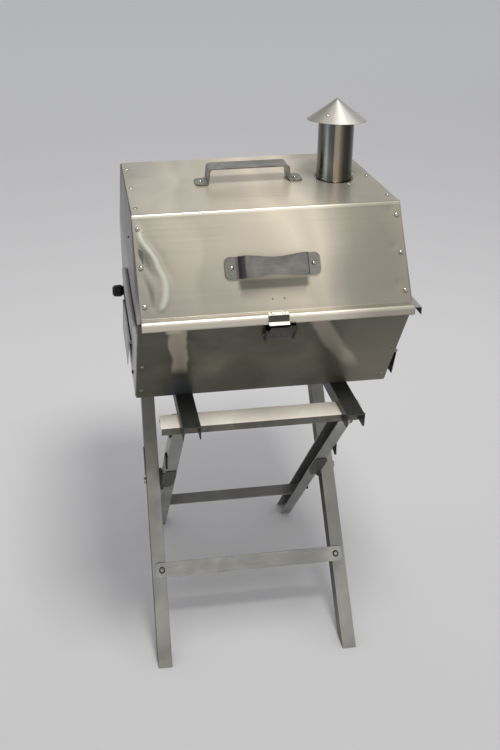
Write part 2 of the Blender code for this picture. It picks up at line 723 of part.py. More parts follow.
def make_chimney():
    centre = place(CHIMNEY_X, CHIMNEY_Y, 0)
    under = TOP_HEIGHT - SHEET - SEAT_GAP
    pipe_bottom = under - PIPE_TAIL
    inner = PIPE_RADIUS - PIPE_WALL
    profile = [(PIPE_RADIUS, pipe_bottom), (PIPE_RADIUS, PIPE_TOP)]
    profile += [(inner, PIPE_TOP), (inner, pipe_bottom)]
    finish_object("chimney_pipe", add_turned(bmesh.new(), profile, centre, PIPE_SIDES, closed=True),
                  "polished_steel", "lid_axis", smooth=True)
    bore = PIPE_RADIUS + SEAT_GAP
    neck_bottom = under - PIPE_TAIL / 2
    profile = [(bore, under), (COLLAR_RADIUS, under), (COLLAR_RADIUS, under - SHEET)]
    profile += [(bore + SHEET, under - SHEET), (bore + SHEET, neck_bottom), (bore, neck_bottom)]
    finish_object("chimney_collar", add_turned(bmesh.new(), profile, centre, 32, closed=True),
                  "brushed_steel", "lid_axis", smooth=True)
    slope = math.hypot(CAP_RADIUS, CAP_RISE)
    wall = SHEET * slope / CAP_RADIUS
    apex = CAP_RIM_HEIGHT + CAP_RISE
    profile = [(0, apex), (CAP_RADIUS, CAP_RIM_HEIGHT)]
    profile += [(CAP_RADIUS - SHEET * CAP_RISE / slope, CAP_RIM_HEIGHT - SHEET * CAP_RADIUS / slope)]
    profile += [(0, apex - wall)]
    cap = finish_object("chimney_cap", add_turned(bmesh.new(), profile, centre, PIPE_SIDES),
                        "brushed_steel", "lid_axis", smooth=True)
    rivets = bmesh.new()
    run = PIPE_RADIUS + CAP_STAY_REACH / 2
    for angle in CAP_STAY_ANGLES:
        turn = Matrix.Rotation(math.radians(angle), 4, "Z")
        tilt = Matrix.Rotation(math.atan2(CAP_RISE, CAP_RADIUS), 4, "Y")
        height = apex - CAP_RISE * run / CAP_RADIUS
        add_rivet(rivets, centre @ turn @ place(run, 0, height) @ tilt,
                  RIVET_RADIUS * SMALL_RIVET_SHARE)
    join(cap, rivets)
    make_cap_stays(centre, apex - wall)


def make_cap_stays(centre, inner_apex):
    """Bent strips from the inside of the pipe to the underside of the cap."""
    flat = (PIPE_RADIUS - PIPE_WALL) * math.cos(math.pi / PIPE_SIDES)
    face = math.sqrt(flat ** 2 - (CAP_STAY_WIDTH / 2) ** 2) - SEAT_GAP
    fall = CAP_RISE / CAP_RADIUS
    slope = math.hypot(1, fall)
    knee = face - SHEET
    edge = math.hypot(knee, CAP_STAY_WIDTH / 2) / math.cos(math.pi / PIPE_SIDES)
    drop = SEAT_GAP * slope + fall * (edge - knee)
    reach = PIPE_RADIUS + CAP_STAY_REACH
    for number, angle in enumerate(CAP_STAY_ANGLES):
        tip = (reach, inner_apex - drop - fall * reach)
        path = [(knee, PIPE_TOP - CAP_STAY_OVERLAP), (knee, inner_apex - drop - fall * knee), tip]
        turn = Matrix.Rotation(math.radians(angle), 4, "Z")
        bm = bmesh.new()
        outline = band(path, SHEET)
        add_slab(bm, outline, -CAP_STAY_WIDTH / 2, CAP_STAY_WIDTH / 2, centre @ turn @ FRONT_VIEW)
        finish_object(f"cap_stay_{number + 1}", bm, "brushed_steel", "lid_axis")


def foot_stations(start, end, radius, width):
    """Stations along a strap's rounded end, as (place, width), from the tip inwards."""
    direction = 1 if end > start else -1
    stations = []
    for degrees in (0, 30, 60, 90):
        angle = math.radians(degrees)
        inset = radius * (1 - math.sin(angle))
        stations.append((start + direction * radius * (1 - math.cos(angle)), width - 2 * inset))
    return stations


def make_top_handle():
    base = SEAT_GAP
    height = TOP_HANDLE_HEIGHT - STRAP
    left = foot_stations(TOP_HANDLE_LEFT, 0, HANDLE_FOOT_RADIUS, HANDLE_WIDTH)
    right = foot_stations(TOP_HANDLE_RIGHT, 0, HANDLE_FOOT_RADIUS, HANDLE_WIDTH)[::-1]
    path = [(x, base) for x, width in left]
    path += [(TOP_HANDLE_LEG_LEFT, base), (TOP_HANDLE_LEG_LEFT + TOP_HANDLE_SLANT, height)]
    path += [(TOP_HANDLE_LEG_RIGHT - TOP_HANDLE_SLANT, height), (TOP_HANDLE_LEG_RIGHT, base)]
    path += [(x, base) for x, width in right]
    widths = [width for x, width in left] + [HANDLE_WIDTH] * 4 + [width for x, width in right]
    top = place(0, 0, TOP_HEIGHT)
    handle = finish_object(
        "top_handle", add_strap(bmesh.new(), path, widths, STRAP, top @ FRONT_VIEW),
        "gunmetal_steel", "lid_axis")
    rivets = bmesh.new()
    for x in (TOP_HANDLE_LEFT + TOP_HANDLE_RIVET_INSET, TOP_HANDLE_RIGHT - TOP_HANDLE_RIVET_INSET):
        add_rivet(rivets, top @ place(x, 0, base + STRAP))
    join(handle, rivets)


def make_front_handle():
    base = SEAT_GAP
    height = FRONT_HANDLE_STANDOFF
    left = foot_stations(FRONT_HANDLE_LEFT, 0, HANDLE_FOOT_RADIUS, HANDLE_WIDTH)
    right = foot_stations(FRONT_HANDLE_RIGHT, 0, HANDLE_FOOT_RADIUS, HANDLE_WIDTH)[::-1]
    bridge_left = FRONT_HANDLE_BEND_LEFT + FRONT_HANDLE_SLANT
    bridge_right = FRONT_HANDLE_BEND_RIGHT - FRONT_HANDLE_SLANT
    path = [(x, base) for x, width in left] + [(FRONT_HANDLE_BEND_LEFT, base)]
    widths = [width for x, width in left] + [HANDLE_WIDTH]
    bridge_steps = 8
    for step in range(bridge_steps + 1):
        share = step / bridge_steps
        path.append((bridge_left + share * (bridge_right - bridge_left), height))
        widths.append(HANDLE_WIDTH - 2 * FRONT_HANDLE_WAIST * math.sin(math.pi * share) ** 2)
    path += [(FRONT_HANDLE_BEND_RIGHT, base)] + [(x, base) for x, width in right]
    widths += [HANDLE_WIDTH] + [width for x, width in right]
    face = front_of_lid(FRONT_HANDLE_DROP)
    upright = face @ Matrix.Rotation(math.pi / 2, 4, "X")
    handle = finish_object(
        "front_handle", add_strap(bmesh.new(), path, widths, STRAP, upright),
        "gunmetal_steel", "lid_axis")
    rivets = bmesh.new()
    inset = FRONT_HANDLE_RIVET_INSET
    for x in (FRONT_HANDLE_LEFT + inset, FRONT_HANDLE_RIGHT - inset):
        add_rivet(rivets, face @ place(x, 0, base + STRAP))
    join(handle, rivets)


def make_latch():
    ledge = LEDGE_HEIGHT + SEAT_GAP + SHEET
    front = LEDGE_FRONT + SEAT_GAP + SHEET
    bottom = LEDGE_HEIGHT - KEEPER_DROP
    chain = [(-front - KEEPER_LIP, bottom - KEEPER_LIP_FALL), (-front, bottom), (-front, ledge)]
    chain.append((-front + KEEPER_TAIL, ledge))
    keeper = finish_object(
        "latch_keeper", add_slab(bmesh.new(), band(chain, SHEET), KEEPER_LEFT, KEEPER_RIGHT, SIDE_VIEW),
        "brushed_steel", "lid_axis")
    rivets = bmesh.new()
    middle = (KEEPER_LEFT + KEEPER_RIGHT) / 2
    for direction in (-1, 1):
        x = middle + direction * (KEEPER_RIGHT - KEEPER_LEFT) / 4
        add_rivet(rivets, place(x, -front + KEEPER_TAIL / 2, ledge), RIVET_RADIUS * SMALL_RIVET_SHARE)
    join(keeper, rivets)

    face = front_of_tub(LATCH_TOP_DROP + LATCH_LENGTH)
    inner_left, inner_right = LATCH_LEFT + LATCH_EAR, LATCH_RIGHT - LATCH_EAR
    base, plate, ear = SEAT_GAP, SEAT_GAP + LATCH_PLATE, SEAT_GAP + LATCH_EAR_RISE
    outline = [(LATCH_LEFT, base), (LATCH_RIGHT, base), (LATCH_RIGHT, ear), (inner_right, ear)]
    outline += [(inner_right, plate), (inner_left, plate), (inner_left, ear), (LATCH_LEFT, ear)]
    upright = face @ Matrix.Rotation(math.pi / 2, 4, "X")
    base_plate = finish_object(
        "latch_base", add_slab(bmesh.new(), outline, -LATCH_LENGTH, 0, upright),
        "black_steel", "oven_seat")
    pin_spot = face @ place(0, LATCH_PIN_RISE, LATCH_PIN_STANDOFF)
    pin_centre = pin_spot @ Matrix.Rotation(math.pi / 2, 4, "Y")
    bore = LATCH_PIN_RADIUS + RUNNING_GAP
    cut(base_plate,
        add_rod(bmesh.new(), bore, LATCH_LEFT - OVERRUN, LATCH_RIGHT + OVERRUN, pin_centre, 10))
    left, right = LATCH_LEFT - SEAT_GAP, LATCH_RIGHT + SEAT_GAP
    profile = [(LATCH_PIN_HEAD, left - LATCH_PIN_HEAD_LENGTH), (LATCH_PIN_HEAD, left)]
    profile += [(LATCH_PIN_RADIUS, left), (LATCH_PIN_RADIUS, right)]
    profile += [(LATCH_PIN_HEAD, right), (LATCH_PIN_HEAD, right + LATCH_PIN_HEAD_LENGTH)]
    finish_object("latch_pin", add_turned(bmesh.new(), profile, pin_centre, 10), "brushed_steel",
                  "oven_seat", smooth=True)

    # The lever's side view, about its pin: knuckle, arm and claw under the keeper's lip.
    lip = pin_spot.inverted() @ Vector((0, -front - KEEPER_LIP, bottom - KEEPER_LIP_FALL))
    claw_top = lip.y - SHEET - LATCH_CLAW_GAP
    claw_out = lip.z + LATCH_CLAW_PROUD
    arm = LATCH_LENGTH - 2 * LATCH_PIN_RISE
    outline = arc((0, 0), LATCH_KNUCKLE, 180, 360, 6)
    outline += [(LATCH_KNUCKLE, arm), (claw_out, claw_top), (claw_out - STRAP, claw_top)]
    outline += [(LATCH_KNUCKLE - STRAP, arm + STRAP / 2), (-LATCH_KNUCKLE / 2, arm)]
    lever_bm = add_slab(bmesh.new(), [(up, out) for out, up in outline], inner_left + RUNNING_GAP,
                        inner_right - RUNNING_GAP, pin_spot @ SIDE_VIEW)
    lever = finish_object("latch_lever", lever_bm, "black_steel", "latch_axis")
    cut(lever,
        add_rod(bmesh.new(), bore, LATCH_LEFT - OVERRUN, LATCH_RIGHT + OVERRUN, pin_centre, 10))


def hinge_centre():
    return Vector((0, JOINT_HALF_DEPTH + HINGE_SETBACK, JOINT_HEIGHT + HINGE_RISE))


def make_hinges():
    centre = hinge_centre()
    for name, x in (("left", -HINGE_X), ("right", HINGE_X)):
        axis = place(x, centre.y, centre.z) @ SIDE_VIEW
        middle = (-HINGE_MIDDLE + RUNNING_GAP, HINGE_MIDDLE - RUNNING_GAP)
        outer = ((-HINGE_HALF_WIDTH, -HINGE_MIDDLE), (HINGE_MIDDLE, HINGE_HALF_WIDTH))
        add_hinge_leaf(f"hinge_lid_leaf_{name}", back_of_lid(LID_SLOPE.length), 1, x, [middle], axis,
                       "lid_axis")
        add_hinge_leaf(f"hinge_tub_leaf_{name}", back_of_tub(0), -1, x, outer, axis, "oven_seat")
        half = HINGE_HALF_WIDTH + SEAT_GAP
        head = half + HINGE_PIN_HEAD_LENGTH
        profile = [(HINGE_PIN_HEAD, -head), (HINGE_PIN_HEAD, -half), (HINGE_PIN_RADIUS, -half)]
        profile += [(HINGE_PIN_RADIUS, half), (HINGE_PIN_HEAD, half), (HINGE_PIN_HEAD, head)]
        finish_object(f"hinge_pin_{name}", add_turned(bmesh.new(), profile, axis, 12),
                      "brushed_steel", "oven_seat", smooth=True)


def add_hinge_leaf(name, face, direction, x, knuckles, axis, parent):
    """Leaf flat on a slope, with tongues up to its knuckles on the pin."""
    centre = face.inverted() @ Vector((x, hinge_centre().y, hinge_centre().z))
    near = centre.y + direction * HINGE_CLEAR
    far = near + direction * HINGE_LEAF_LENGTH
    left, right = centre.x - HINGE_HALF_WIDTH, centre.x + HINGE_HALF_WIDTH
    outline = [(left, far), (left, near)]
    for start, end in sorted((centre.x - end, centre.x - start) for start, end in knuckles):
        outline += [(start, near), (start, centre.y), (end, centre.y), (end, near)]
    outline += [(right, near), (right, far)]
    outline = list(dict.fromkeys(outline))
    leaf = add_slab(bmesh.new(), outline, SEAT_GAP, SEAT_GAP + HINGE_LEAF, face)
    leaf_object = finish_object(name, leaf, "brushed_steel", parent)
    barrels = bmesh.new()
    for start, end in knuckles:
        add_rod(barrels, KNUCKLE_RADIUS, start, end, axis, 12)
    join(leaf_object, barrels)
    bore = HINGE_PIN_RADIUS + RUNNING_GAP
    cut(leaf_object, add_rod(bmesh.new(), bore, -HINGE_HALF_WIDTH - OVERRUN,
                             HINGE_HALF_WIDTH + OVERRUN, axis, 12))


def make_inside():
    rest_half = tub_half_depth(GRATE_HEIGHT) - REST_END_GAP
    for name, direction in (("left", -1), ("right", 1)):
        face = HALF_WIDTH - SHEET - SEAT_GAP
        top = GRATE_HEIGHT - SEAT_GAP
        corners = [(face, top - REST_WIDTH), (face, top), (face - REST_WIDTH, top)]
        outline = [(direction * x, z) for x, z in band(corners, -SHEET)]
        finish_object(
            f"grate_rest_{name}",
            add_slab(bmesh.new(), outline, -rest_half, rest_half, FRONT_VIEW),
            "brushed_steel", "oven_seat")

    half_width = HALF_WIDTH - SHEET - GRATE_SIDE_GAP
    half_depth = tub_half_depth(GRATE_HEIGHT) - 2 * SIDE_INSET - GRATE_END_GAP
    grate = finish_object(
        "cooking_grate",
        add_slab(bmesh.new(), box_outline(-half_width, half_width, -half_depth, half_depth),
                 GRATE_HEIGHT, GRATE_HEIGHT + GRATE_SHEET, PLAN_VIEW),
        "brushed_steel", "grate_seat")
    slots = bmesh.new()
    inside = 2 * (half_width - GRATE_RIM)
    slot = (inside - (GRATE_BARS - 1) * GRATE_BAR) / GRATE_BARS
    for index in range(GRATE_BARS):
        left = -half_width + GRATE_RIM + index * (slot + GRATE_BAR)
        outline = box_outline(left, left + slot, -half_depth + GRATE_RIM, half_depth - GRATE_RIM)
        add_slab(slots, outline, GRATE_HEIGHT - OVERRUN, GRATE_HEIGHT + GRATE_SHEET + OVERRUN,
                 PLAN_VIEW)
    cut(grate, slots)

    floor = BOTTOM_HEIGHT + SHEET + SEAT_GAP
    width, depth = HALF_WIDTH - TRAY_SIDE_GAP, BOTTOM_HALF_DEPTH - TRAY_END_GAP
    lower = box_outline(-width, width, -depth, depth)
    tray = finish_object(
        "charcoal_tray", add_slab(bmesh.new(), lower, floor, floor + TRAY_WALL_HEIGHT, PLAN_VIEW),
        "dark_steel", "oven_seat")
    width, depth = width - TRAY_SHEET, depth - TRAY_SHEET
    hollow = add_slab(bmesh.new(), box_outline(-width, width, -depth, depth), floor + TRAY_SHEET,
                      floor + TRAY_WALL_HEIGHT + OVERRUN, PLAN_VIEW)
    cut(tray, hollow)


# Stand geometry in side view
TOP_HINGE = Vector((0, TOP_HINGE_Y, RAIL_BOTTOM - SEAT_GAP - LEG_DEPTH / 2))
PIVOT = Vector((0, PIVOT_Y, PIVOT_HEIGHT))
ARM = (TOP_HINGE - PIVOT).length
REAR_TUBE_HEIGHT = RAIL_BOTTOM - SEAT_GAP - REAR_TUBE_RADIUS
REAR_TUBE = Vector((0, PIVOT_Y + math.sqrt(ARM ** 2 - (REAR_TUBE_HEIGHT - PIVOT_HEIGHT) ** 2),
                    REAR_TUBE_HEIGHT))


def leg_frame(top):
    return frame(PIVOT, top - PIVOT)


def leg_outline(matrix):
    """Side view of a leg about the pivot: cut flat on the floor, round at the top."""
    half = LEG_DEPTH / 2
    fall, lean = matrix[2][1], matrix[2][2]
    outline = [((-PIVOT_HEIGHT - lean * out) / fall, out) for out in (half, -half)]
    outline += arc((ARM, 0), half, -90, 90, 8)
    return outline


def add_leg(name, inner, width, direction, matrix, open_inside, parent):
    """Leg folded from sheet: three walls, open at the back or towards the middle."""
    side = matrix @ SIDE_VIEW
    low, high = sorted((direction * inner, direction * (inner + width)))
    leg = finish_object(name, add_slab(bmesh.new(), leg_outline(matrix), low, high, side),
                        "stand_steel", parent)
    half = LEG_DEPTH / 2
    bottom, top = -ARM - PIVOT_HEIGHT, ARM + LEG_DEPTH
    if open_inside:
        walls = box_outline(bottom, top, -half + BAR_SHEET, half - BAR_SHEET)
        ends = (direction * (inner - OVERRUN), direction * (inner + width - BAR_SHEET))
    else:
        walls = box_outline(bottom, top, -half - OVERRUN, half - BAR_SHEET)
        ends = (low + BAR_SHEET, high - BAR_SHEET)
    cut(leg, add_slab(bmesh.new(), walls, min(ends), max(ends), side))
    return leg, side


def bolt_hole(radius, spot, low, high):
    axis = place(0, spot.y, spot.z) @ SIDE_VIEW
    return add_rod(bmesh.new(), radius + RUNNING_GAP, low, high, axis, 12)


def add_bolt(name, spot, profile, parent, material):
    axis = place(0, spot.y, spot.z) @ SIDE_VIEW
    finish_object(name, add_turned(bmesh.new(), profile, axis, 12), material, parent, smooth=True)


def make_legs():
    leg_a_frame, leg_b_frame = leg_frame(REAR_TUBE), leg_frame(TOP_HINGE)
    web = LEG_B_OUTER - BAR_SHEET
    for name, direction in (("left", -1), ("right", 1)):
        leg_a, side = add_leg(f"leg_a_{name}", LEG_A_INNER, LEG_A_WIDTH, direction, leg_a_frame,
                              False, None)
        reach = direction * (LEG_A_OUTER + OVERRUN)
        cut(leg_a, bolt_hole(PIVOT_BOLT_RADIUS, PIVOT, direction * (LEG_A_INNER - OVERRUN), reach))
        leg_b, side = add_leg(f"leg_b_{name}", LEG_B_INNER, LEG_B_WIDTH, direction, leg_b_frame,
                              True, "fold_axis")
        inside, outside = direction * (web - OVERRUN), direction * (LEG_B_OUTER + OVERRUN)
        holes = bolt_hole(PIVOT_BOLT_RADIUS, PIVOT, inside, outside)
        axis = place(0, TOP_HINGE.y, TOP_HINGE.z) @ SIDE_VIEW
        add_rod(holes, TOP_BOLT_RADIUS + RUNNING_GAP, inside, outside, axis, 12)
        cut(leg_b, holes)

        spacer_outline = chamfered(SPACER_LENGTH / 2, SPACER_DEPTH / 2, SPACER_CHAMFER)
        low, high = LEG_B_OUTER + SEAT_GAP, LEG_A_INNER - SEAT_GAP
        side = leg_a_frame @ SIDE_VIEW
        spacer = finish_object(
            f"pivot_spacer_{name}",
            add_slab(bmesh.new(), spacer_outline, direction * low, direction * high, side),
            "grey_plastic", None)
        cut(spacer, bolt_hole(PIVOT_BOLT_RADIUS, PIVOT, direction * (low - OVERRUN),
                              direction * (high + OVERRUN)))

        head_start, nut_start = LEG_A_OUTER + SEAT_GAP, web - SEAT_GAP
        profile = [(PIVOT_HEAD_RADIUS, head_start + PIVOT_HEAD), (PIVOT_HEAD_RADIUS, head_start)]
        profile += [(PIVOT_BOLT_RADIUS, head_start), (PIVOT_BOLT_RADIUS, nut_start)]
        profile += [(PIVOT_HEAD_RADIUS, nut_start), (PIVOT_HEAD_RADIUS, nut_start - PIVOT_NUT)]
        profile = [(radius, direction * height) for radius, height in profile]
        add_bolt(f"pivot_bolt_{name}", PIVOT, profile, None, "brushed_steel")

        ear_outer = LEG_B_OUTER + RUNNING_GAP + BAR_SHEET
        head_low, head_high = ear_outer + SEAT_GAP, LEG_A_INNER - SEAT_GAP
        profile = [(TOP_BOLT_HEAD_RADIUS, head_high), (TOP_BOLT_HEAD_RADIUS, head_low)]
        profile += [(TOP_BOLT_RADIUS, head_low), (TOP_BOLT_RADIUS, nut_start)]
        profile += [(TOP_BOLT_HEAD_RADIUS, nut_start), (TOP_BOLT_HEAD_RADIUS, nut_start - TOP_BOLT_NUT)]
        profile = [(radius, direction * height) for radius, height in profile]
        add_bolt(f"top_hinge_bolt_{name}", TOP_HINGE, profile, "fold_axis", "black_steel")

    tube_half = LEG_A_INNER - SEAT_GAP
    inner = REAR_TUBE_RADIUS - REAR_TUBE_WALL
    profile = [(REAR_TUBE_RADIUS, -tube_half), (REAR_TUBE_RADIUS, tube_half), (inner, tube_half)]
    profile.append((inner, -tube_half))
    axis = place(0, REAR_TUBE.y, REAR_TUBE.z) @ SIDE_VIEW
    finish_object("rear_tube", add_turned(bmesh.new(), profile, axis, 20, closed=True),
                  "stand_steel", None, smooth=True)
    make_lower_bars(leg_a_frame, leg_b_frame, web)


def chamfered(half_length, half_depth, chamfer):
    quarter = [(half_length, half_depth - chamfer), (half_length - chamfer, half_depth)]
    half = quarter + [(-x, y) for x, y in quarter[::-1]]
    return half + [(x, -y) for x, y in half[::-1]]


def make_lower_bars(leg_a_frame, leg_b_frame, web):
    half = LEG_DEPTH / 2
    along = (FRONT_BAR_HEIGHT - PIVOT_HEIGHT - half * leg_a_frame[2][2]) / leg_a_frame[2][1]
    base = half + SEAT_GAP
    bar_half = LEG_A_OUTER - FRONT_BAR_SETBACK
    left = foot_stations(-bar_half, 0, FRONT_BAR_CORNER, FRONT_BAR_WIDTH)
    stations = left + [(-x, width) for x, width in left[::-1]]
    face = leg_a_frame @ place(0, along, 0)
    upright = face @ Matrix.Rotation(math.pi / 2, 4, "X")
    bar = finish_object(
        "front_lower_bar",
        add_strap(bmesh.new(), [(x, base) for x, width in stations], [width for x, width in stations],
                  STRAP, upright),
        "stand_steel", None)
    rivets = bmesh.new()
    for direction in (-1, 1):
        x = direction * (bar_half - FRONT_BAR_RIVET_INSET)
        add_rivet(rivets, face @ place(x, 0, base + STRAP))
    join(bar, rivets)

    along = (REAR_BAR_HEIGHT - PIVOT_HEIGHT) / leg_b_frame[2][1]
    reach = web - SEAT_GAP
    path = [(-reach, REAR_BAR_TAB), (-reach, 0), (reach, 0), (reach, REAR_BAR_TAB)]
    bar_frame = leg_b_frame @ place(0, along, 0)
    finish_object(
        "rear_lower_bar",
        add_slab(bmesh.new(), band(path, -STRAP), -REAR_BAR_WIDTH / 2, REAR_BAR_WIDTH / 2,
                 bar_frame),
        "stand_steel", "fold_axis")


def make_top_frame():
    for name, direction in (("left", -1), ("right", 1)):
        tip_centre = (RAIL_FRONT + RAIL_TIP_RADIUS, RAIL_BOTTOM + RAIL_TIP_RADIUS)
        tip = arc(tip_centre, RAIL_TIP_RADIUS, 180, 270, 3)
        side = [(RAIL_FRONT, RAIL_TOP)] + tip + [(RAIL_BACK, RAIL_BOTTOM), (RAIL_BACK, RAIL_TOP)]
        rail_bm = add_slab(bmesh.new(), side, direction * RAIL_INNER, direction * RAIL_OUTER, SIDE_VIEW)
        rail = finish_object(f"rail_{name}", rail_bm, "dark_steel", "top_frame_axis")
        hollow = bmesh.new()
        channel = box_outline(RAIL_FRONT - OVERRUN, RAIL_BACK + OVERRUN, RAIL_BOTTOM - OVERRUN,
                              RAIL_TOP - BAR_SHEET)
        add_slab(hollow, channel, direction * (RAIL_INNER + BAR_SHEET),
                 direction * (RAIL_OUTER - BAR_SHEET), SIDE_VIEW)
        cut(rail, hollow)
        notch = box_outline(CROSSBAR_FRONT - SEAT_GAP, CROSSBAR_BACK + SEAT_GAP,
                            RAIL_BOTTOM - OVERRUN, CROSSBAR_TOP + SEAT_GAP)
        cut(rail, add_slab(bmesh.new(), notch, direction * (RAIL_INNER - OVERRUN),
                           direction * (RAIL_OUTER + OVERRUN), SIDE_VIEW))

    ear_inner = LEG_B_OUTER + RUNNING_GAP
    ear_outer = ear_inner + BAR_SHEET
    bottom = CROSSBAR_TOP - CROSSBAR_LIP
    chain = [(CROSSBAR_FRONT, bottom), (CROSSBAR_FRONT, CROSSBAR_TOP), (CROSSBAR_BACK, CROSSBAR_TOP)]
    chain.append((CROSSBAR_BACK, bottom))
    bar_bm = add_slab(bmesh.new(), band(chain, BAR_SHEET), -ear_outer - CROSSBAR_TAIL, ear_outer,
                      SIDE_VIEW)
    crossbar = finish_object("front_crossbar", bar_bm, "bright_steel", "top_frame_axis")
    ears = bmesh.new()
    lower = TOP_HINGE.z - EAR_RADIUS
    front = CROSSBAR_FRONT + BAR_SHEET / 2
    outline = [(front, CROSSBAR_TOP - BAR_SHEET / 2), (front, bottom)]
    outline += arc((TOP_HINGE.y, TOP_HINGE.z), EAR_RADIUS, 250, 405, 6)
    outline.append((CROSSBAR_BACK - BAR_SHEET / 2, CROSSBAR_TOP - BAR_SHEET / 2))
    for direction in (-1, 1):
        low, high = sorted((direction * ear_inner, direction * ear_outer))
        if direction > 0:
            high -= SEAT_GAP
        add_slab(ears, outline, low, high, SIDE_VIEW)
    join(crossbar, ears)
    holes = bmesh.new()
    axis = place(0, TOP_HINGE.y, TOP_HINGE.z) @ SIDE_VIEW
    for direction in (-1, 1):
        add_rod(holes, TOP_BOLT_RADIUS + RUNNING_GAP, direction * (ear_inner - OVERRUN),
                direction * (ear_outer + OVERRUN), axis, 12)
    cut(crossbar, holes)


def make_joint_axes():
    add_joint_axis("fold_axis", PIVOT)
    add_joint_axis("top_frame_axis", TOP_HINGE, "fold_axis")
    add_joint_axis("oven_seat", Vector((0, 0, BOTTOM_HEIGHT)), "top_frame_axis")
    add_joint_axis("lid_axis", hinge_centre(), "oven_seat")
    face = front_of_tub(LATCH_TOP_DROP + LATCH_LENGTH)
    add_joint_axis("latch_axis", face @ Vector((0, LATCH_PIN_RISE, LATCH_PIN_STANDOFF)), "oven_seat")
    add_joint_axis("vent_axis", Vector((-HALF_WIDTH, VENT_Y, VENT_HEIGHT)), "oven_seat")
    add_joint_axis("grate_seat", Vector((0, 0, GRATE_HEIGHT)), "oven_seat")
    for name, direction, front in (("left", -1, LEFT_FLAP_FRONT), ("right", 1, RIGHT_FLAP_FRONT)):
        spot = Vector((direction * (HALF_WIDTH + FLAP_AXIS_STANDOFF), front, FLAP_AXIS_HEIGHT))
        add_joint_axis(f"flap_axis_{name}", spot, "oven_seat")


def make_materials():
    add_material("brushed_steel", (0.46, 0.42, 0.35), 0.34, 1.0)
    add_material("side_steel", (0.33, 0.32, 0.30), 0.42, 1.0)
    add_material("polished_steel", (0.50, 0.49, 0.47), 0.14, 1.0)
    add_material("gunmetal_steel", (0.22, 0.21, 0.20), 0.38, 1.0)
    add_material("stand_steel", (0.38, 0.37, 0.33), 0.40, 1.0)
    add_material("bright_steel", (0.66, 0.62, 0.54), 0.30, 1.0)
    add_material("dark_steel", (0.10, 0.10, 0.09), 0.42, 1.0)
    add_material("black_steel", (0.015, 0.015, 0.015), 0.45, 0.6)
    add_material("black_plastic", (0.012, 0.012, 0.013), 0.40, 0.0)
    add_material("grey_plastic", (0.16, 0.16, 0.13), 0.50, 0.0)


clear_scene()
make_materials()
make_joint_axes()
make_lid_shell()
make_tub_shell()
make_sides()
make_side_ledges()
make_vent()
make_air_flaps()
make_chimney()
make_top_handle()
make_front_handle()
make_latch()
make_hinges()
make_inside()
make_legs()
make_top_frame()
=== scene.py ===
import json
import math

import bmesh
import bpy
from mathutils import Matrix, Vector


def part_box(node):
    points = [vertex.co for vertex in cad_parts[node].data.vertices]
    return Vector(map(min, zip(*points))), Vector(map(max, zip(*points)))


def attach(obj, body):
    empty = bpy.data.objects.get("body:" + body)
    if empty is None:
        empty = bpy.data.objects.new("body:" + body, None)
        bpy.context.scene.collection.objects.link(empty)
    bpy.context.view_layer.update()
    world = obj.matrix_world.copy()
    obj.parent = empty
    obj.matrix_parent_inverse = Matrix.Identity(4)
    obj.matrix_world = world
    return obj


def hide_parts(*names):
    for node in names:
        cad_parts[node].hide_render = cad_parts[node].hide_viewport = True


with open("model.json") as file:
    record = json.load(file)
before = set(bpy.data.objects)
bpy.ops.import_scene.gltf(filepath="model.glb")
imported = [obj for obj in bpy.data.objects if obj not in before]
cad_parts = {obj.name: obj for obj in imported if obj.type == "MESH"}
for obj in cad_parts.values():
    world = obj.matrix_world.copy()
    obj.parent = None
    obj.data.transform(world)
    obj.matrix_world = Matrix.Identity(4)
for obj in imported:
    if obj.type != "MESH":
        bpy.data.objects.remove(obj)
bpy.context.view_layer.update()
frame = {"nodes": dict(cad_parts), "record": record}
print("frame loaded:", len(frame["nodes"]), "nodes")

# Everything is in metres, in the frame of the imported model: front is -Y.

oven = {
    "halfWidth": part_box("lid_side_right")[1][0],
    "wrapHalf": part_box("tub_shell")[1][0],
    "top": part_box("lid_side_right")[1][2] + 0.0018,
    "joint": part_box("tub_shell")[1][2],
    "bottom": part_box("tub_shell")[0][2],
    "topHalf": 0.150,
    "jointHalf": 0.240,
    "bottomHalf": 0.140,
    "sheet": 0.0015,
    "bend": 0.005,
}


# Small helpers

def nodeOf(tree, kind, inputs=None, **settings):
    made = tree.nodes.new(kind)
    for key, value in settings.items():
        setattr(made, key, value)
    for key, value in (inputs or {}).items():
        if isinstance(value, bpy.types.NodeSocket):
            tree.links.new(value, made.inputs[key])
        else:
            made.inputs[key].default_value = value
    return made


def maths(tree, operation, first, second=0.0):
    return nodeOf(tree, "ShaderNodeMath", {0: first, 1: second}, operation=operation).outputs[0]


def times(tree, first, second):
    return maths(tree, "MULTIPLY", first, second)


def blendColour(tree, factor, first, second, mode="MIX"):
    made = nodeOf(tree, "ShaderNodeMix", {0: factor, 6: first, 7: second}, data_type="RGBA",
                  blend_type=mode)
    return made.outputs[2]


def spread(tree, value, low, high, toLow=0.0, toHigh=1.0, smooth=False):
    made = nodeOf(tree, "ShaderNodeMapRange", {0: value, 1: low, 2: high, 3: toLow, 4: toHigh},
                  interpolation_type="SMOOTHSTEP" if smooth else "LINEAR")
    return made.outputs[0]


def softBand(tree, value, middle, half, soft):
    # 1 inside middle +- half, fading out over soft.
    away = maths(tree, "ABSOLUTE", maths(tree, "SUBTRACT", value, middle))
    return spread(tree, away, half, half + soft, 1.0, 0.0, smooth=True)


def rampOf(tree, value, stops):
    made = nodeOf(tree, "ShaderNodeValToRGB", {0: value})
    elements = made.color_ramp.elements
    while len(elements) < len(stops):
        elements.new(1.0)
    for element, (place, colour) in zip(elements, stops):
        element.position = place
        element.color = (*colour, 1)
    return made.outputs[0]


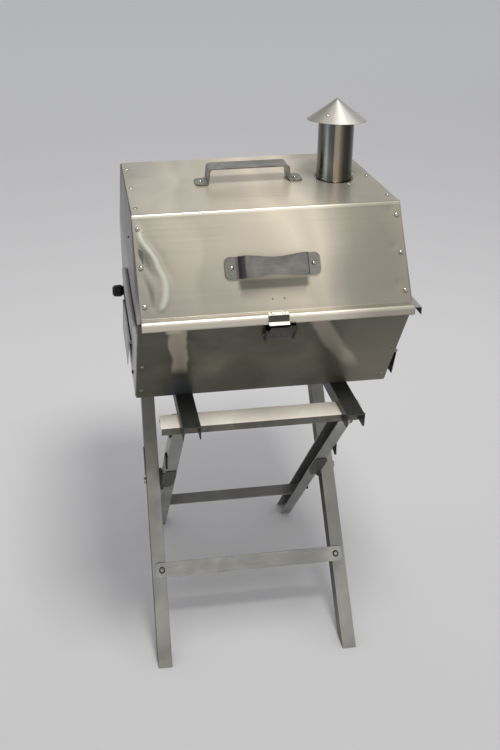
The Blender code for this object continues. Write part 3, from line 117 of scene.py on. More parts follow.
def roundedPath(corners, radii, steps=6):
    # Replaces the inner corners of an open path by arcs.
    path = [Vector(corners[0])]
    for index in range(1, len(corners) - 1):
        corner = Vector(corners[index])
        back = (Vector(corners[index - 1]) - corner).normalized()
        ahead = (Vector(corners[index + 1]) - corner).normalized()
        half = back.angle(ahead) / 2
        reach = radii[index - 1] / math.tan(half)
        centre = corner + (back + ahead).normalized() * (radii[index - 1] / math.sin(half))
        start, end = corner + back * reach - centre, corner + ahead * reach - centre
        turn = start.angle_signed(end)
        for step in range(steps + 1):
            angle = -turn * step / steps
            cosine, sine = math.cos(angle), math.sin(angle)
            path.append(centre + Vector((start.x * cosine - start.y * sine,
                                         start.x * sine + start.y * cosine)))
    path.append(Vector(corners[-1]))
    return path


def evenPath(path, spacing):
    # Adds points along the long runs of a path.
    points = [path[0]]
    for start, end in zip(path, path[1:]):
        count = max(1, round((end - start).length / spacing))
        for step in range(1, count + 1):
            points.append(start.lerp(end, step / count))
    return points


def pathNormals(path):
    # Unit normals to the left of a path.
    normals = []
    for index in range(len(path)):
        before, after = path[max(index - 1, 0)], path[min(index + 1, len(path) - 1)]
        run = (after - before).normalized()
        normals.append(Vector((-run.y, run.x)))
    return normals


def placed(name, data):
    made = bpy.data.objects.new(name, data)
    bpy.context.scene.collection.objects.link(made)
    return made


def pieceFrom(name, bm, material, body, nodes=(), angle=35):
    # Turns a bmesh into a finished piece that rides on a body and stands for CAD nodes.
    bmesh.ops.recalc_face_normals(bm, faces=bm.faces)
    mesh = bpy.data.meshes.new(name)
    bm.to_mesh(mesh)
    bm.free()
    mesh.materials.append(material)
    mesh.shade_smooth()
    mesh.set_sharp_from_angle(angle=math.radians(angle))
    piece = placed(name, mesh)
    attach(piece, body)
    if nodes:
        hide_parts(*nodes)
    return piece


def bevelled(piece, width, segments=2, angle=40):
    bevel = piece.modifiers.new("Edge", "BEVEL")
    bevel.width = width
    bevel.segments = segments
    bevel.limit_method = "ANGLE"
    bevel.angle_limit = math.radians(angle)
    bevel.harden_normals = True
    return piece


def thickened(piece, thickness, rim):
    # Gives a sheet its wall; rim is the finish of its cut edges.
    wall = piece.modifiers.new("Sheet", "SOLIDIFY")
    wall.thickness = thickness
    wall.offset = -1.0
    wall.use_even_offset = True
    piece.data.materials.append(rim)
    wall.material_offset_rim = 1
    return piece


def bodyOfNode(name):
    for body, names in frame["record"]["behaviour"]["bodies"].items():
        if name in names:
            return body


def softenedNode(name, material, width=0.0007, segments=2, other=None, isOther=None):
    # A merged copy of a CAD node with rounded edges, in its place; isOther(normal, centre) picks
    # the faces that get the other finish.
    bm = bmesh.new()
    bm.from_mesh(frame["nodes"][name].data)
    bmesh.ops.remove_doubles(bm, verts=bm.verts, dist=0.00002)
    bmesh.ops.dissolve_limit(bm, angle_limit=math.radians(1), verts=bm.verts, edges=bm.edges)
    piece = pieceFrom(f"soft_{name}", bm, material, bodyOfNode(name), [name])
    if other:
        piece.data.materials.append(other)
        for face in piece.data.polygons:
            face.material_index = int(isOther(face.normal, face.center))
    return bevelled(piece, width, segments)


def turnedMesh(bm, profile, matrix, segments=48, closed=False):
    # Surface of revolution of (radius, height) points about the matrix's z axis.
    rings = []
    for radius, height in profile:
        count = 1 if radius == 0 else segments
        ring = []
        for step in range(count):
            angle = math.tau * step / segments
            ring.append(bm.verts.new(matrix @ Vector((radius * math.cos(angle),
                                                      radius * math.sin(angle), height))))
        rings.append(ring)
    pairs = list(zip(rings, rings[1:]))
    if closed:
        pairs.append((rings[-1], rings[0]))
    for ring, following in pairs:
        for step in range(segments):
            after = (step + 1) % segments
            corners = [ring[step % len(ring)], ring[after % len(ring)]]
            corners += [following[after % len(following)], following[step % len(following)]]
            bm.faces.new(list(dict.fromkeys(corners)))
    if not closed:
        for ring in (rings[0], rings[-1]):
            if len(ring) > 2:
                bm.faces.new(ring)
    return bm


def slabMesh(bm, outline, low, high, matrix):
    lower = [bm.verts.new(matrix @ Vector((u, v, low))) for u, v in outline]
    upper = [bm.verts.new(matrix @ Vector((u, v, high))) for u, v in outline]
    bm.faces.new(lower[::-1])
    bm.faces.new(upper)
    for index in range(len(outline)):
        after = (index + 1) % len(outline)
        bm.faces.new((lower[index], lower[after], upper[after], upper[index]))
    return bm


def matrixOf(*columns):
    # x, y and z axes, then the place.
    matrix = Matrix.Identity(4)
    for column, axis in enumerate(columns):
        for row in range(3):
            matrix[row][column] = axis[row]
    return matrix


def planeFrame(origin, across, up):
    # x across a face, y up it, z out of it.
    across, up = Vector(across).normalized(), Vector(up).normalized()
    return matrixOf(across, up, across.cross(up), Vector(origin))


sideView = Matrix(((0, 0, 1, 0), (1, 0, 0, 0), (0, 1, 0, 0), (0, 0, 0, 1)))

lidUp = Vector((0, oven["jointHalf"] - oven["topHalf"], oven["top"] - oven["joint"]))
tubUp = Vector((0, oven["bottomHalf"] - oven["jointHalf"], oven["joint"] - oven["bottom"]))
lidFace = planeFrame((0, -oven["topHalf"], oven["top"]), (1, 0, 0), lidUp)
lidBack = planeFrame((0, oven["topHalf"], oven["top"]), (-1, 0, 0), (0, -lidUp.y, lidUp.z))
tubFace = planeFrame((0, -oven["jointHalf"], oven["joint"]), (1, 0, 0), tubUp)
tubBack = planeFrame((0, oven["jointHalf"], oven["joint"]), (-1, 0, 0), (0, -tubUp.y, tubUp.z))
lidTop = planeFrame((0, 0, oven["top"]), (1, 0, 0), (0, 1, 0))


# Materials

def newMaterial(name):
    material = bpy.data.materials.new(name)
    material.use_nodes = True
    tree = material.node_tree
    return material, tree, tree.nodes["Principled BSDF"]


def steelMaterial(name, look):
    # Brushed sheet: stretched grain, clouds of tint, fine scratches and smudged roughness.
    material, tree, shader = newMaterial(name)
    shader.inputs["Metallic"].default_value = look.get("metallic", 0.8)
    coords = nodeOf(tree, "ShaderNodeTexCoord").outputs["Object"]
    grainMap = nodeOf(tree, "ShaderNodeMapping", {"Vector": coords,
                                                   "Scale": look.get("grain", (300, 300, 300))})
    grain = nodeOf(tree, "ShaderNodeTexNoise", {"Vector": grainMap.outputs[0], "Scale": 1.0,
                                                "Detail": 4.0, "Roughness": 0.65}).outputs[0]
    cloud = nodeOf(tree, "ShaderNodeTexNoise", {"Vector": coords, "Scale": look.get("cloudScale", 7.0),
                                                "Detail": 3.0, "Distortion": 0.6}).outputs[0]
    scratchMap = nodeOf(tree, "ShaderNodeMapping", {"Vector": coords, "Rotation": (0.2, 0.5, 0.9),
                                                    "Scale": (14, 160, 160)})
    scratch = nodeOf(tree, "ShaderNodeTexNoise", {"Vector": scratchMap.outputs[0], "Scale": 1.0,
                                                  "Detail": 2.0}).outputs[0]
    marks = spread(tree, scratch, 0.66, 0.78)
    amount = spread(tree, cloud, 0.34, 0.68, smooth=True)
    colour = blendColour(tree, amount, (*look["dark"], 1), (*look["light"], 1))
    depth = look.get("streaks", 0.12)
    streak = spread(tree, grain, 0.3, 0.7, 1 - depth, 1 + depth)
    streakColour = nodeOf(tree, "ShaderNodeCombineColor", {0: streak, 1: streak, 2: streak}).outputs[0]
    colour = blendColour(tree, 1.0, colour, streakColour, "MULTIPLY")
    markShare = times(tree, marks, look.get("scratches", 0.2))
    colour = blendColour(tree, markShare, colour, (0.75, 0.73, 0.68, 1))
    rough = maths(tree, "ADD", look["rough"], spread(tree, grain, 0.3, 0.7, -0.05, 0.05))
    rough = maths(tree, "ADD", rough, spread(tree, cloud, 0.3, 0.7, 0.06, -0.05))
    bump = nodeOf(tree, "ShaderNodeBump", {"Height": grain, "Strength": look.get("bump", 0.25),
                                           "Distance": 0.0002})
    tree.links.new(colour, shader.inputs["Base Color"])
    tree.links.new(rough, shader.inputs["Roughness"])
    tree.links.new(bump.outputs[0], shader.inputs["Normal"])
    return material, tree, shader, coords, colour


def painted(tree, shader, colour):
    tree.links.new(colour, shader.inputs["Base Color"])


def axesOf(tree, coords):
    split = nodeOf(tree, "ShaderNodeSeparateXYZ", {0: coords})
    return split.outputs[0], split.outputs[1], split.outputs[2]


def lidSteelMaterial():
    look = {"dark": (0.29, 0.275, 0.235), "light": (0.38, 0.355, 0.295), "rough": 0.34, "cloudScale": 5.0,
            "grain": (4, 260, 260), "streaks": 0.03, "bump": 0.05, "scratches": 0.0, "metallic": 0.55}
    material, tree, shader, coords, colour = steelMaterial("lidSteel", look)
    x, y, z = axesOf(tree, coords)
    # A broad painted sheen over the middle with tall soft streaks, greyer towards both ends: painted
    # reflection.
    sway = nodeOf(tree, "ShaderNodeTexNoise", {"Vector": coords, "Scale": 3.0, "Detail": 2.0}).outputs[0]
    bent = maths(tree, "ADD", x, spread(tree, sway, 0.3, 0.7, -0.05, 0.05))
    stops = ((0.0, 0.0), (0.10, 0.16), (0.17, 0.34), (0.20, 0.20), (0.28, 0.28), (0.36, 0.42), (0.45, 0.55),
             (0.53, 0.85), (0.59, 0.62), (0.65, 0.74), (0.72, 0.32), (0.80, 0.06), (0.95, 0.0), (1.0, 0.12))
    sheen = rampOf(tree, spread(tree, bent, -0.25, 0.25), [(place, (v, v, v)) for place, v in stops])
    fade = spread(tree, z, 0.88, 0.98, 0.50, 0.95, smooth=True)
    colour = blendColour(tree, times(tree, sheen, fade), colour, (0.78, 0.69, 0.54, 1))
    # Painted highlights on the folded edges: the front of the lower fold here, the bend at the top further
    # down.
    ledgeHighlight = spread(tree, y, -0.2490, -0.2450, 0.70, 0.0, smooth=True)
    colour = blendColour(tree, ledgeHighlight, colour, (0.80, 0.74, 0.62, 1))
    # Painted light on the crests of the dents and painted shade in their hollows and creases.
    dentShading = nodeOf(tree, "ShaderNodeAttribute", attribute_name="dentShading").outputs["Fac"]
    colour = blendColour(tree, spread(tree, dentShading, 0.1, 1.0, 0.0, 0.62, smooth=True), colour,
                         (0.60, 0.64, 0.54, 1))
    colour = blendColour(tree, spread(tree, dentShading, -0.9, -0.05, 0.62, 0.0, smooth=True), colour,
                         (0.10, 0.10, 0.085, 1))
    # Painted shadow under the front handle.
    handleShadow = times(tree, softBand(tree, x, 0.000, 0.056, 0.014), softBand(tree, z, 0.9205, 0.0045, 0.0055))
    colour = blendColour(tree, times(tree, handleShadow, 0.62), colour, (0.07, 0.068, 0.056, 1))
    # Painted highlight along the bend at the top.
    fold = times(tree, softBand(tree, z, 1.0366, 0.0016, 0.0012), 0.55)
    colour = blendColour(tree, fold, colour, (0.84, 0.78, 0.66, 1))
    # Darker towards the right end: painted shade where the painted reflection falls off.
    right = spread(tree, x, 0.09, 0.19, 0.0, 0.55, smooth=True)
    colour = blendColour(tree, right, colour, (0.22, 0.20, 0.155, 1))
    painted(tree, shader, colour)
    return material


def tubSteelMaterial():
    look = {"dark": (0.075, 0.073, 0.053), "light": (0.110, 0.107, 0.080), "rough": 0.38,
            "grain": (4, 260, 260), "streaks": 0.04, "bump": 0.06, "scratches": 0.0, "metallic": 0.65}
    material, tree, shader, coords, colour = steelMaterial("tubSteel", look)
    x, y, z = axesOf(tree, coords)
    # A painted reflection band near each end, dull blue below the left one, and a warmer right end.
    sway = nodeOf(tree, "ShaderNodeTexNoise", {"Vector": coords, "Scale": 14.0, "Detail": 2.0}).outputs[0]
    bent = maths(tree, "ADD", x, spread(tree, sway, 0.3, 0.7, -0.005, 0.005))
    leaning = maths(tree, "ADD", bent, spread(tree, z, 0.722, 0.832, -0.0057, 0.0057))
    high = spread(tree, z, 0.716, 0.745, smooth=True)
    left = times(tree, softBand(tree, leaning, -0.1725, 0.0115, 0.007), high)
    colour = blendColour(tree, times(tree, left, 0.9), colour, (0.44, 0.40, 0.31, 1))
    blue = times(tree, softBand(tree, bent, -0.165, 0.016, 0.012), spread(tree, z, 0.70, 0.725, 0.5, 0.0))
    colour = blendColour(tree, blue, colour, (0.14, 0.155, 0.18, 1))
    warm = times(tree, spread(tree, x, 0.10, 0.150, 0.0, 0.7, smooth=True),
                 spread(tree, z, 0.70, 0.84, 1.0, 0.45))
    colour = blendColour(tree, warm, colour, (0.225, 0.205, 0.150, 1))
    # Painted reflection: the band towards the right end leans with height.
    leaning = maths(tree, "ADD", bent, spread(tree, z, 0.70, 0.86, -0.034, 0.062))
    tubRightReflection = times(tree, softBand(tree, leaning, 0.138, 0.011, 0.012), spread(tree, z, 0.70, 0.73))
    colour = blendColour(tree, times(tree, tubRightReflection, 0.7), colour, (0.40, 0.365, 0.29, 1))
    # Painted reflection: a small bright patch just under the lid's front fold, on the left.
    spot = times(tree, softBand(tree, x, -0.184, 0.010, 0.008), softBand(tree, z, 0.846, 0.003, 0.004))
    colour = blendColour(tree, times(tree, spot, 0.7), colour, (0.62, 0.60, 0.52, 1))
    painted(tree, shader, colour)
    return material


def turnShare(tree, coords, centre, facing):
    # 0 to 1 round an upright axis, with 0.5 towards facing.
    x, y, z = axesOf(tree, coords)
    turn = maths(tree, "ARCTAN2", maths(tree, "SUBTRACT", y, centre[1]),
                 maths(tree, "SUBTRACT", x, centre[0]))
    turn = maths(tree, "SUBTRACT", turn, facing)
    return maths(tree, "FRACT", maths(tree, "ADD", maths(tree, "DIVIDE", turn, math.tau), 1.5))


def pipeSteelMaterial(centre, facing):
    look = {"dark": (0.92, 0.92, 0.92), "light": (1.0, 1.0, 1.0), "rough": 0.20, "streaks": 0.08,
            "grain": (900, 900, 5), "scratches": 0.03, "metallic": 1.0}
    material, tree, shader, coords, colour = steelMaterial("pipeSteel", look)
    # The colour changes round the pipe, from one side of its seam to the other: heat tint with painted
    # reflections, bright straw and pale blue bands round the side that faces the front and painted shade beside
    # them.
    share = turnShare(tree, coords, centre, facing)
    stops = [(0.0, (0.18, 0.18, 0.17)), (0.30, (0.19, 0.18, 0.165)), (0.37, (0.13, 0.125, 0.115)),
             (0.395, (0.30, 0.33, 0.345)), (0.425, (0.50, 0.57, 0.62)), (0.446, (0.20, 0.23, 0.25)),
             (0.488, (0.16, 0.155, 0.14)), (0.497, (0.62, 0.55, 0.44)), (0.528, (0.70, 0.60, 0.455)),
             (0.552, (0.33, 0.29, 0.225)), (0.585, (0.11, 0.10, 0.085)), (0.63, (0.070, 0.070, 0.058)),
             (0.70, (0.17, 0.17, 0.15)), (1.0, (0.18, 0.18, 0.17))]
    colour = blendColour(tree, 1.0, rampOf(tree, share, stops), colour, "MULTIPLY")
    painted(tree, shader, colour)
    return material


def capSteelMaterial(centre, facing):
    look = {"dark": (0.90, 0.90, 0.90), "light": (1.0, 1.0, 1.0), "rough": 0.34, "streaks": 0.05,
            "grain": (500, 500, 60), "scratches": 0.05, "bump": 0.12, "metallic": 0.5}
    material, tree, shader, coords, colour = steelMaterial("capSteel", look)
    # Painted highlight: a bright streak down the cap just beside the side that faces the front, with painted
    # shade round the sides.
    share = turnShare(tree, coords, centre, facing)
    stops = [(0.0, (0.34, 0.33, 0.30)), (0.28, (0.24, 0.235, 0.21)), (0.335, (0.18, 0.175, 0.155)),
             (0.385, (0.27, 0.265, 0.235)), (0.43, (0.44, 0.43, 0.385)), (0.47, (0.50, 0.48, 0.43)),
             (0.50, (0.66, 0.64, 0.58)), (0.53, (0.90, 0.875, 0.82)), (0.55, (0.95, 0.93, 0.88)),
             (0.572, (0.76, 0.74, 0.69)), (0.60, (0.66, 0.64, 0.60)), (0.635, (0.42, 0.41, 0.38)),
             (0.68, (0.29, 0.285, 0.26)), (1.0, (0.34, 0.33, 0.30))]
    colour = blendColour(tree, 1.0, rampOf(tree, share, stops), colour, "MULTIPLY")
    painted(tree, shader, colour)
    return material


def handleSteelMaterial():
    look = {"dark": (0.135, 0.132, 0.120), "light": (0.245, 0.24, 0.215), "rough": 0.34, "metallic": 0.8,
            "grain": (30, 500, 500), "streaks": 0.10, "scratches": 0.18, "cloudScale": 18.0, "bump": 0.15}
    material, tree, shader, coords, colour = steelMaterial("handleSteel", look)
    x, y, z = axesOf(tree, coords)
    # Heat tint where the bar was bent: purple, blue, straw, and painted shade as a neutral dark band in the
    # crease of the left bend.
    low = spread(tree, z, 1.02, 1.03, 1.0, 0.0)
    bands = ((-0.0615, 0.0012, (0.055, 0.06, 0.13)), (-0.0570, 0.0006, (0.08, 0.075, 0.07)),
             (-0.0660, 0.0010, (0.16, 0.13, 0.10)), (0.0610, 0.0030, (0.045, 0.05, 0.085)))
    for middle, half, tint in bands:
        band = times(tree, softBand(tree, x, middle, half, 0.0022), low)
        colour = blendColour(tree, times(tree, band, 0.85), colour, (*tint, 1))
    painted(tree, shader, colour)
    return material


def sideSteelMaterial():
    look = {"dark": (0.105, 0.105, 0.100), "light": (0.145, 0.145, 0.138), "rough": 0.34, "metallic": 0.75,
            "grain": (700, 700, 6), "streaks": 0.05, "bump": 0.10, "scratches": 0.04}
    material, tree, shader, coords, colour = steelMaterial("sideSteel", look)
    x, y, z = axesOf(tree, coords)
    # Lighter towards the bottom: painted light on the lower sides, where the ledges and flaps cast shade.
    low = spread(tree, z, 0.86, 0.93, 0.8, 0.0, smooth=True)
    colour = blendColour(tree, low, colour, (0.36, 0.36, 0.35, 1))
    # A dark painted reflection of the vent knob round the air vent.
    away = nodeOf(tree, "ShaderNodeVectorMath", {0: coords, 1: (-0.25, 0.10, 0.76)},
                  operation="DISTANCE").outputs[1]
    colour = blendColour(tree, spread(tree, away, 0.02, 0.06, 0.55, 0.0, smooth=True), colour,
                         (0.07, 0.068, 0.06, 1))
    painted(tree, shader, colour)
    return material


def legSteelMaterial():
    look = {"dark": (0.27, 0.264, 0.238), "light": (0.36, 0.353, 0.32), "rough": 0.38, "cloudScale": 8.0,
            "grain": (500, 90, 14), "streaks": 0.07, "scratches": 0.12, "bump": 0.15}
    material, tree, shader, coords, colour = steelMaterial("legSteel", look)
    x, y, z = axesOf(tree, coords)
    patch = nodeOf(tree, "ShaderNodeTexNoise", {"Vector": coords, "Scale": 11.0, "Detail": 2.0}).outputs[0]
    height = maths(tree, "ADD", z, spread(tree, patch, 0.3, 0.7, -0.05, 0.05))
    # Darker from the pivot up, and darker in patches at the feet.
    colour = blendColour(tree, spread(tree, height, 0.30, 0.44, 0.0, 0.75, smooth=True), colour,
                         (0.15, 0.15, 0.132, 1))
    darkerAtFeet = times(tree, spread(tree, height, -0.03, 0.07, 0.5, 0.0), patch)
    colour = blendColour(tree, darkerAtFeet, colour, (0.09, 0.088, 0.08, 1))
    painted(tree, shader, colour)
    return material


def plasticMaterial(name, colour, rough, bumpScale):
    # Moulded plastic: fine pebble, dust in patches.
    material, tree, shader = newMaterial(name)
    shader.inputs["Specular IOR Level"].default_value = 0.25
    coords = nodeOf(tree, "ShaderNodeTexCoord").outputs["Object"]
    pebble = nodeOf(tree, "ShaderNodeTexNoise",
                    {"Vector": coords, "Scale": bumpScale, "Detail": 2.0}).outputs[0]
    dust = nodeOf(tree, "ShaderNodeTexNoise", {"Vector": coords, "Scale": 60.0, "Detail": 3.0}).outputs[0]
    amount = spread(tree, dust, 0.50, 0.80, 0.0, 0.05)
    mixed = blendColour(tree, amount, (*colour, 1), (0.25, 0.25, 0.24, 1))
    bump = nodeOf(tree, "ShaderNodeBump", {"Height": pebble, "Strength": 0.2, "Distance": 0.0002})
    tree.links.new(mixed, shader.inputs["Base Color"])
    tree.links.new(maths(tree, "ADD", rough, amount), shader.inputs["Roughness"])
    tree.links.new(bump.outputs[0], shader.inputs["Normal"])
    return material


chimney = {"x": 0.1712, "y": -0.007, "radius": 0.0350, "wall": 0.0012, "hole": 0.0368,
           "rivetCircle": 0.0455, "facing": math.radians(-109.3)}
chimneySpot = (chimney["x"], chimney["y"])

steels = {
    # Painted shade: a darker copy of the leg steel for the flanks of the outer legs.
    "shadedLegFlank": {"dark": (0.055, 0.053, 0.042), "light": (0.10, 0.098, 0.080), "rough": 0.40, "cloudScale": 8.0,
                "grain": (500, 90, 14), "streaks": 0.08},
    "innerLeg": {"dark": (0.28, 0.28, 0.258), "light": (0.40, 0.40, 0.37), "rough": 0.40, "cloudScale": 9.0,
                 "grain": (500, 90, 14), "streaks": 0.08, "scratches": 0.12},
    "bar": {"dark": (0.29, 0.287, 0.265), "light": (0.41, 0.405, 0.378), "rough": 0.36, "cloudScale": 10.0,
            "grain": (8, 600, 600), "streaks": 0.08, "scratches": 0.15},
    # Painted light: a near-white copy of the bar steel for the top of the front cross bar and the keeper's
    # upward faces.
    "paintedLight": {"dark": (0.84, 0.78, 0.67), "light": (0.96, 0.91, 0.81), "rough": 0.42, "cloudScale": 14.0,
                 "grain": (8, 600, 600), "streaks": 0.03, "scratches": 0.0, "metallic": 0.15},
    # A darker bar steel; on the front faces of the front cross bar it is painted shade.
    "lip": {"dark": (0.12, 0.118, 0.098), "light": (0.20, 0.195, 0.165), "rough": 0.36, "cloudScale": 14.0,
            "grain": (8, 600, 600), "streaks": 0.08},
    "rail": {"dark": (0.035, 0.038, 0.034), "light": (0.065, 0.068, 0.062), "rough": 0.42, "metallic": 0.5,
             "grain": (600, 8, 600), "streaks": 0.08, "scratches": 0.05},
    "shade": {"dark": (0.010, 0.010, 0.009), "light": (0.024, 0.024, 0.021), "rough": 0.55, "metallic": 0.3,
              "scratches": 0.02},
    "latch": {"dark": (0.004, 0.004, 0.004), "light": (0.009, 0.009, 0.008), "rough": 0.30, "bump": 0.1,
              "metallic": 0.2, "scratches": 0.03, "cloudScale": 60.0},
    "keeper": {"dark": (0.105, 0.102, 0.080), "light": (0.15, 0.145, 0.115), "rough": 0.28,
               "grain": (8, 600, 600), "cloudScale": 40.0, "bump": 0.10, "streaks": 0.05, "scratches": 0.0},
    "rivet": {"dark": (0.34, 0.33, 0.29), "light": (0.52, 0.50, 0.45), "rough": 0.20, "metallic": 1.0,
              "cloudScale": 90.0, "scratches": 0.0},
    "smallRivet": {"dark": (0.16, 0.155, 0.13), "light": (0.34, 0.33, 0.28), "rough": 0.30,
                   "cloudScale": 90.0},
    "grate": {"dark": (0.28, 0.25, 0.20), "light": (0.55, 0.52, 0.46), "rough": 0.30,
              "grain": (60, 300, 300), "cloudScale": 30.0},
    "tray": {"dark": (0.05, 0.048, 0.044), "light": (0.16, 0.15, 0.13), "rough": 0.50,
             "cloudScale": 18.0, "streaks": 0.25},
    "inside": {"dark": (0.22, 0.21, 0.19), "light": (0.40, 0.38, 0.34), "rough": 0.40,
               "grain": (8, 600, 600), "cloudScale": 12.0},
    "blackBolt": {"dark": (0.010, 0.010, 0.010), "light": (0.030, 0.030, 0.028), "rough": 0.40,
                  "cloudScale": 80.0, "metallic": 0.6},
}
finish = {name: steelMaterial(f"{name}Steel", look)[0] for name, look in steels.items()}
finish["lid"] = lidSteelMaterial()
finish["tub"] = tubSteelMaterial()
finish["pipe"] = pipeSteelMaterial(chimneySpot, chimney["facing"])
finish["cap"] = capSteelMaterial(chimneySpot, chimney["facing"])
finish["handle"] = handleSteelMaterial()
finish["leg"] = legSteelMaterial()
finish["side"] = sideSteelMaterial()
finish["knob"] = plasticMaterial("knobPlastic", (0.006, 0.0065, 0.007), 0.38, 900.0)
finish["spacer"] = plasticMaterial("spacerPlastic", (0.055, 0.056, 0.046), 0.45, 500.0)
print("materials made:", len(finish))


# Geometry Nodes: dome rivets on marked points

def rivetTree():
    tree = bpy.data.node_groups.new("domeRivets", "GeometryNodeTree")
    face = tree.interface
    face.new_socket("Geometry", in_out="INPUT", socket_type="NodeSocketGeometry")
    for label, value in (("Head Radius", 0.0047), ("Head Height", 0.0024), ("Seat Depth", 0.0006),
                         ("Size Spread", 0.05)):
        face.new_socket(label, in_out="INPUT", socket_type="NodeSocketFloat").default_value = value
    face.new_socket("Segments", in_out="INPUT", socket_type="NodeSocketInt").default_value = 20
    face.new_socket("Seed", in_out="INPUT", socket_type="NodeSocketInt").default_value = 3
    face.new_socket("Finish", in_out="INPUT", socket_type="NodeSocketMaterial")
    face.new_socket("Geometry", in_out="OUTPUT", socket_type="NodeSocketGeometry")
    entry = nodeOf(tree, "NodeGroupInput").outputs
    ball = nodeOf(tree, "GeometryNodeMeshUVSphere", {"Segments": entry["Segments"], "Rings": 10,
                                                     "Radius": entry["Head Radius"]}).outputs[0]
    lift = maths(tree, "DIVIDE", entry["Head Height"], entry["Head Radius"])
    squash = nodeOf(tree, "ShaderNodeCombineXYZ", {0: 1.0, 1: 1.0, 2: lift}).outputs[0]
    dome = nodeOf(tree, "GeometryNodeTransform", {"Geometry": ball, "Scale": squash}).outputs[0]
    spot = nodeOf(tree, "GeometryNodeInputPosition").outputs[0]
    parts = nodeOf(tree, "ShaderNodeSeparateXYZ", {0: spot}).outputs
    seat = times(tree, entry["Seat Depth"], -1.0)
    level = maths(tree, "MAXIMUM", parts[2], seat)
    flat = nodeOf(tree, "ShaderNodeCombineXYZ", {0: parts[0], 1: parts[1], 2: level}).outputs[0]
    dome = nodeOf(tree, "GeometryNodeSetPosition", {"Geometry": dome, "Position": flat}).outputs[0]
    dome = nodeOf(tree, "GeometryNodeSetShadeSmooth", {"Geometry": dome}).outputs[0]
    out = nodeOf(tree, "GeometryNodeInputNamedAttribute", {"Name": "out"},
                 data_type="FLOAT_VECTOR").outputs[0]
    facing = nodeOf(tree, "FunctionNodeAlignRotationToVector", {"Vector": out}, axis="Z").outputs[0]
    low = maths(tree, "SUBTRACT", 1.0, entry["Size Spread"])
    size = nodeOf(tree, "FunctionNodeRandomValue", {2: low, 3: 1.0, "Seed": entry["Seed"]},
                  data_type="FLOAT").outputs[1]
    heads = nodeOf(tree, "GeometryNodeInstanceOnPoints", {"Points": entry["Geometry"], "Instance": dome,
                                                          "Rotation": facing, "Scale": size}).outputs[0]
    real = nodeOf(tree, "GeometryNodeRealizeInstances", {0: heads}).outputs[0]
    done = nodeOf(tree, "GeometryNodeSetMaterial",
                  {"Geometry": real, "Material": entry["Finish"]}).outputs[0]
    nodeOf(tree, "NodeGroupOutput", {0: done})
    return tree


def settledNodes(name, mesh, tree, values):
    # Runs a node tree on a mesh and keeps the result as a plain mesh.
    holder = placed(name, mesh)
    modifier = holder.modifiers.new("Nodes", "NODES")
    modifier.node_group = tree
    sockets = {item.name: item.identifier for item in tree.interface.items_tree if item.in_out == "INPUT"}
    for label, value in values.items():
        modifier[sockets[label]] = value
    bpy.context.view_layer.update()
    graph = bpy.context.evaluated_depsgraph_get()
    plain = bpy.data.meshes.new_from_object(holder.evaluated_get(graph), depsgraph=graph)
    holder.modifiers.remove(modifier)
    holder.data = plain
    plain.name = name
    return holder


def rivetsAt(name, spots, tree, look, body):
    # spots are (matrix of a face, x, y) on it; the heads stand out along the face's z.
    mesh = bpy.data.meshes.new(name)
    points = [face @ Vector((x, y, look.get("lift", 0.0))) for face, x, y in spots]
    mesh.from_pydata(points, [], [])
    outs = mesh.attributes.new("out", "FLOAT_VECTOR", "POINT")
    for item, (face, x, y) in zip(outs.data, spots):
        item.vector = face.to_3x3() @ Vector((0, 0, 1))
    values = {"Head Radius": look["radius"], "Head Height": look["height"], "Finish": look["finish"],
              "Seed": look.get("seed", 3), "Segments": look.get("segments", 20)}
    piece = settledNodes(name, mesh, tree, values)
    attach(piece, body)
    return piece


# Wrapped sheets of the lid and the tub

def shellGrid(path, half, columns, shape, skew=None):
    # Sheet over a path of (y, z). shape(x, place along it) gives the push outwards and a tone of painted
    # light and shade; skew(side, point) moves the side edges.
    bm = bmesh.new()
    tone = bm.verts.layers.float.new("dentShading")
    normals = pathNormals(path)
    places = [0.0]
    for start, end in zip(path, path[1:]):
        places.append(places[-1] + (end - start).length)
    rows = []
    for point, normal, place in zip(path, normals, places):
        row = []
        for column in range(columns + 1):
            x = half * (2 * column / columns - 1)
            push, paintedShade = shape(x, place)
            if skew:
                x += skew(1 if x > 0 else -1, point) * max(0.0, 1 - (half - abs(x)) / 0.04)
            vert = bm.verts.new((x, point.x + normal.x * push, point.y + normal.y * push))
            vert[tone] = paintedShade
            row.append(vert)
        rows.append(row)
    for row, following in zip(rows, rows[1:]):
        for column in range(columns):
            bm.faces.new((row[column], row[column + 1], following[column + 1], following[column]))
    return bm


def hump(value, middle, width):
    return math.exp(-((value - middle) / width) ** 2)


def eased(share):
    share = min(1.0, max(0.0, share))
    return share * share * (3 - 2 * share)


lidShell = {
    "ledgeFront": 0.252, "ledgeHeight": 0.878, "lip": 0.017, "rearLift": 0.002,
    "ledgeBend": 0.0075, "ledgeRoot": 0.001, "columns": 190, "spacing": 0.003,
    "ridgeHeight": 0.0032, "ridgeWidth": 0.0072, "waviness": 0.0005,
    "hollowDepth": 0.0030, "hollowWidth": 0.0085, "hollowAside": 0.0165, "hollowPlace": (0.095, 0.026),
    "creaseWidth": 0.0050, "creasePlace": (0.152, 0.030),
    "smallDentDepth": 0.0012, "smallDentX": 0.227, "smallDentWidth": (0.007, 0.008),
    "smallDents": (0.026, 0.094, 0.1625),
    "ridge": ((0.010, -0.2405), (0.0355, -0.2383), (0.054, -0.237), (0.074, -0.2245), (0.091, -0.2114),
              (0.111, -0.2066), (0.128, -0.1956), (0.159, -0.1958), (0.182, -0.2053), (0.200, -0.214)),
    "crease": ((0.100, -0.241), (0.125, -0.2337), (0.146, -0.2230), (0.173, -0.2207), (0.200, -0.220)),
}


def along(points, place):
    # Value at a place on a list of (place, value) points.
    for (start, low), (end, high) in zip(points, points[1:]):
        if place <= end:
            return low + (high - low) * max(0.0, (place - start) / (end - start))
    return points[-1][1]


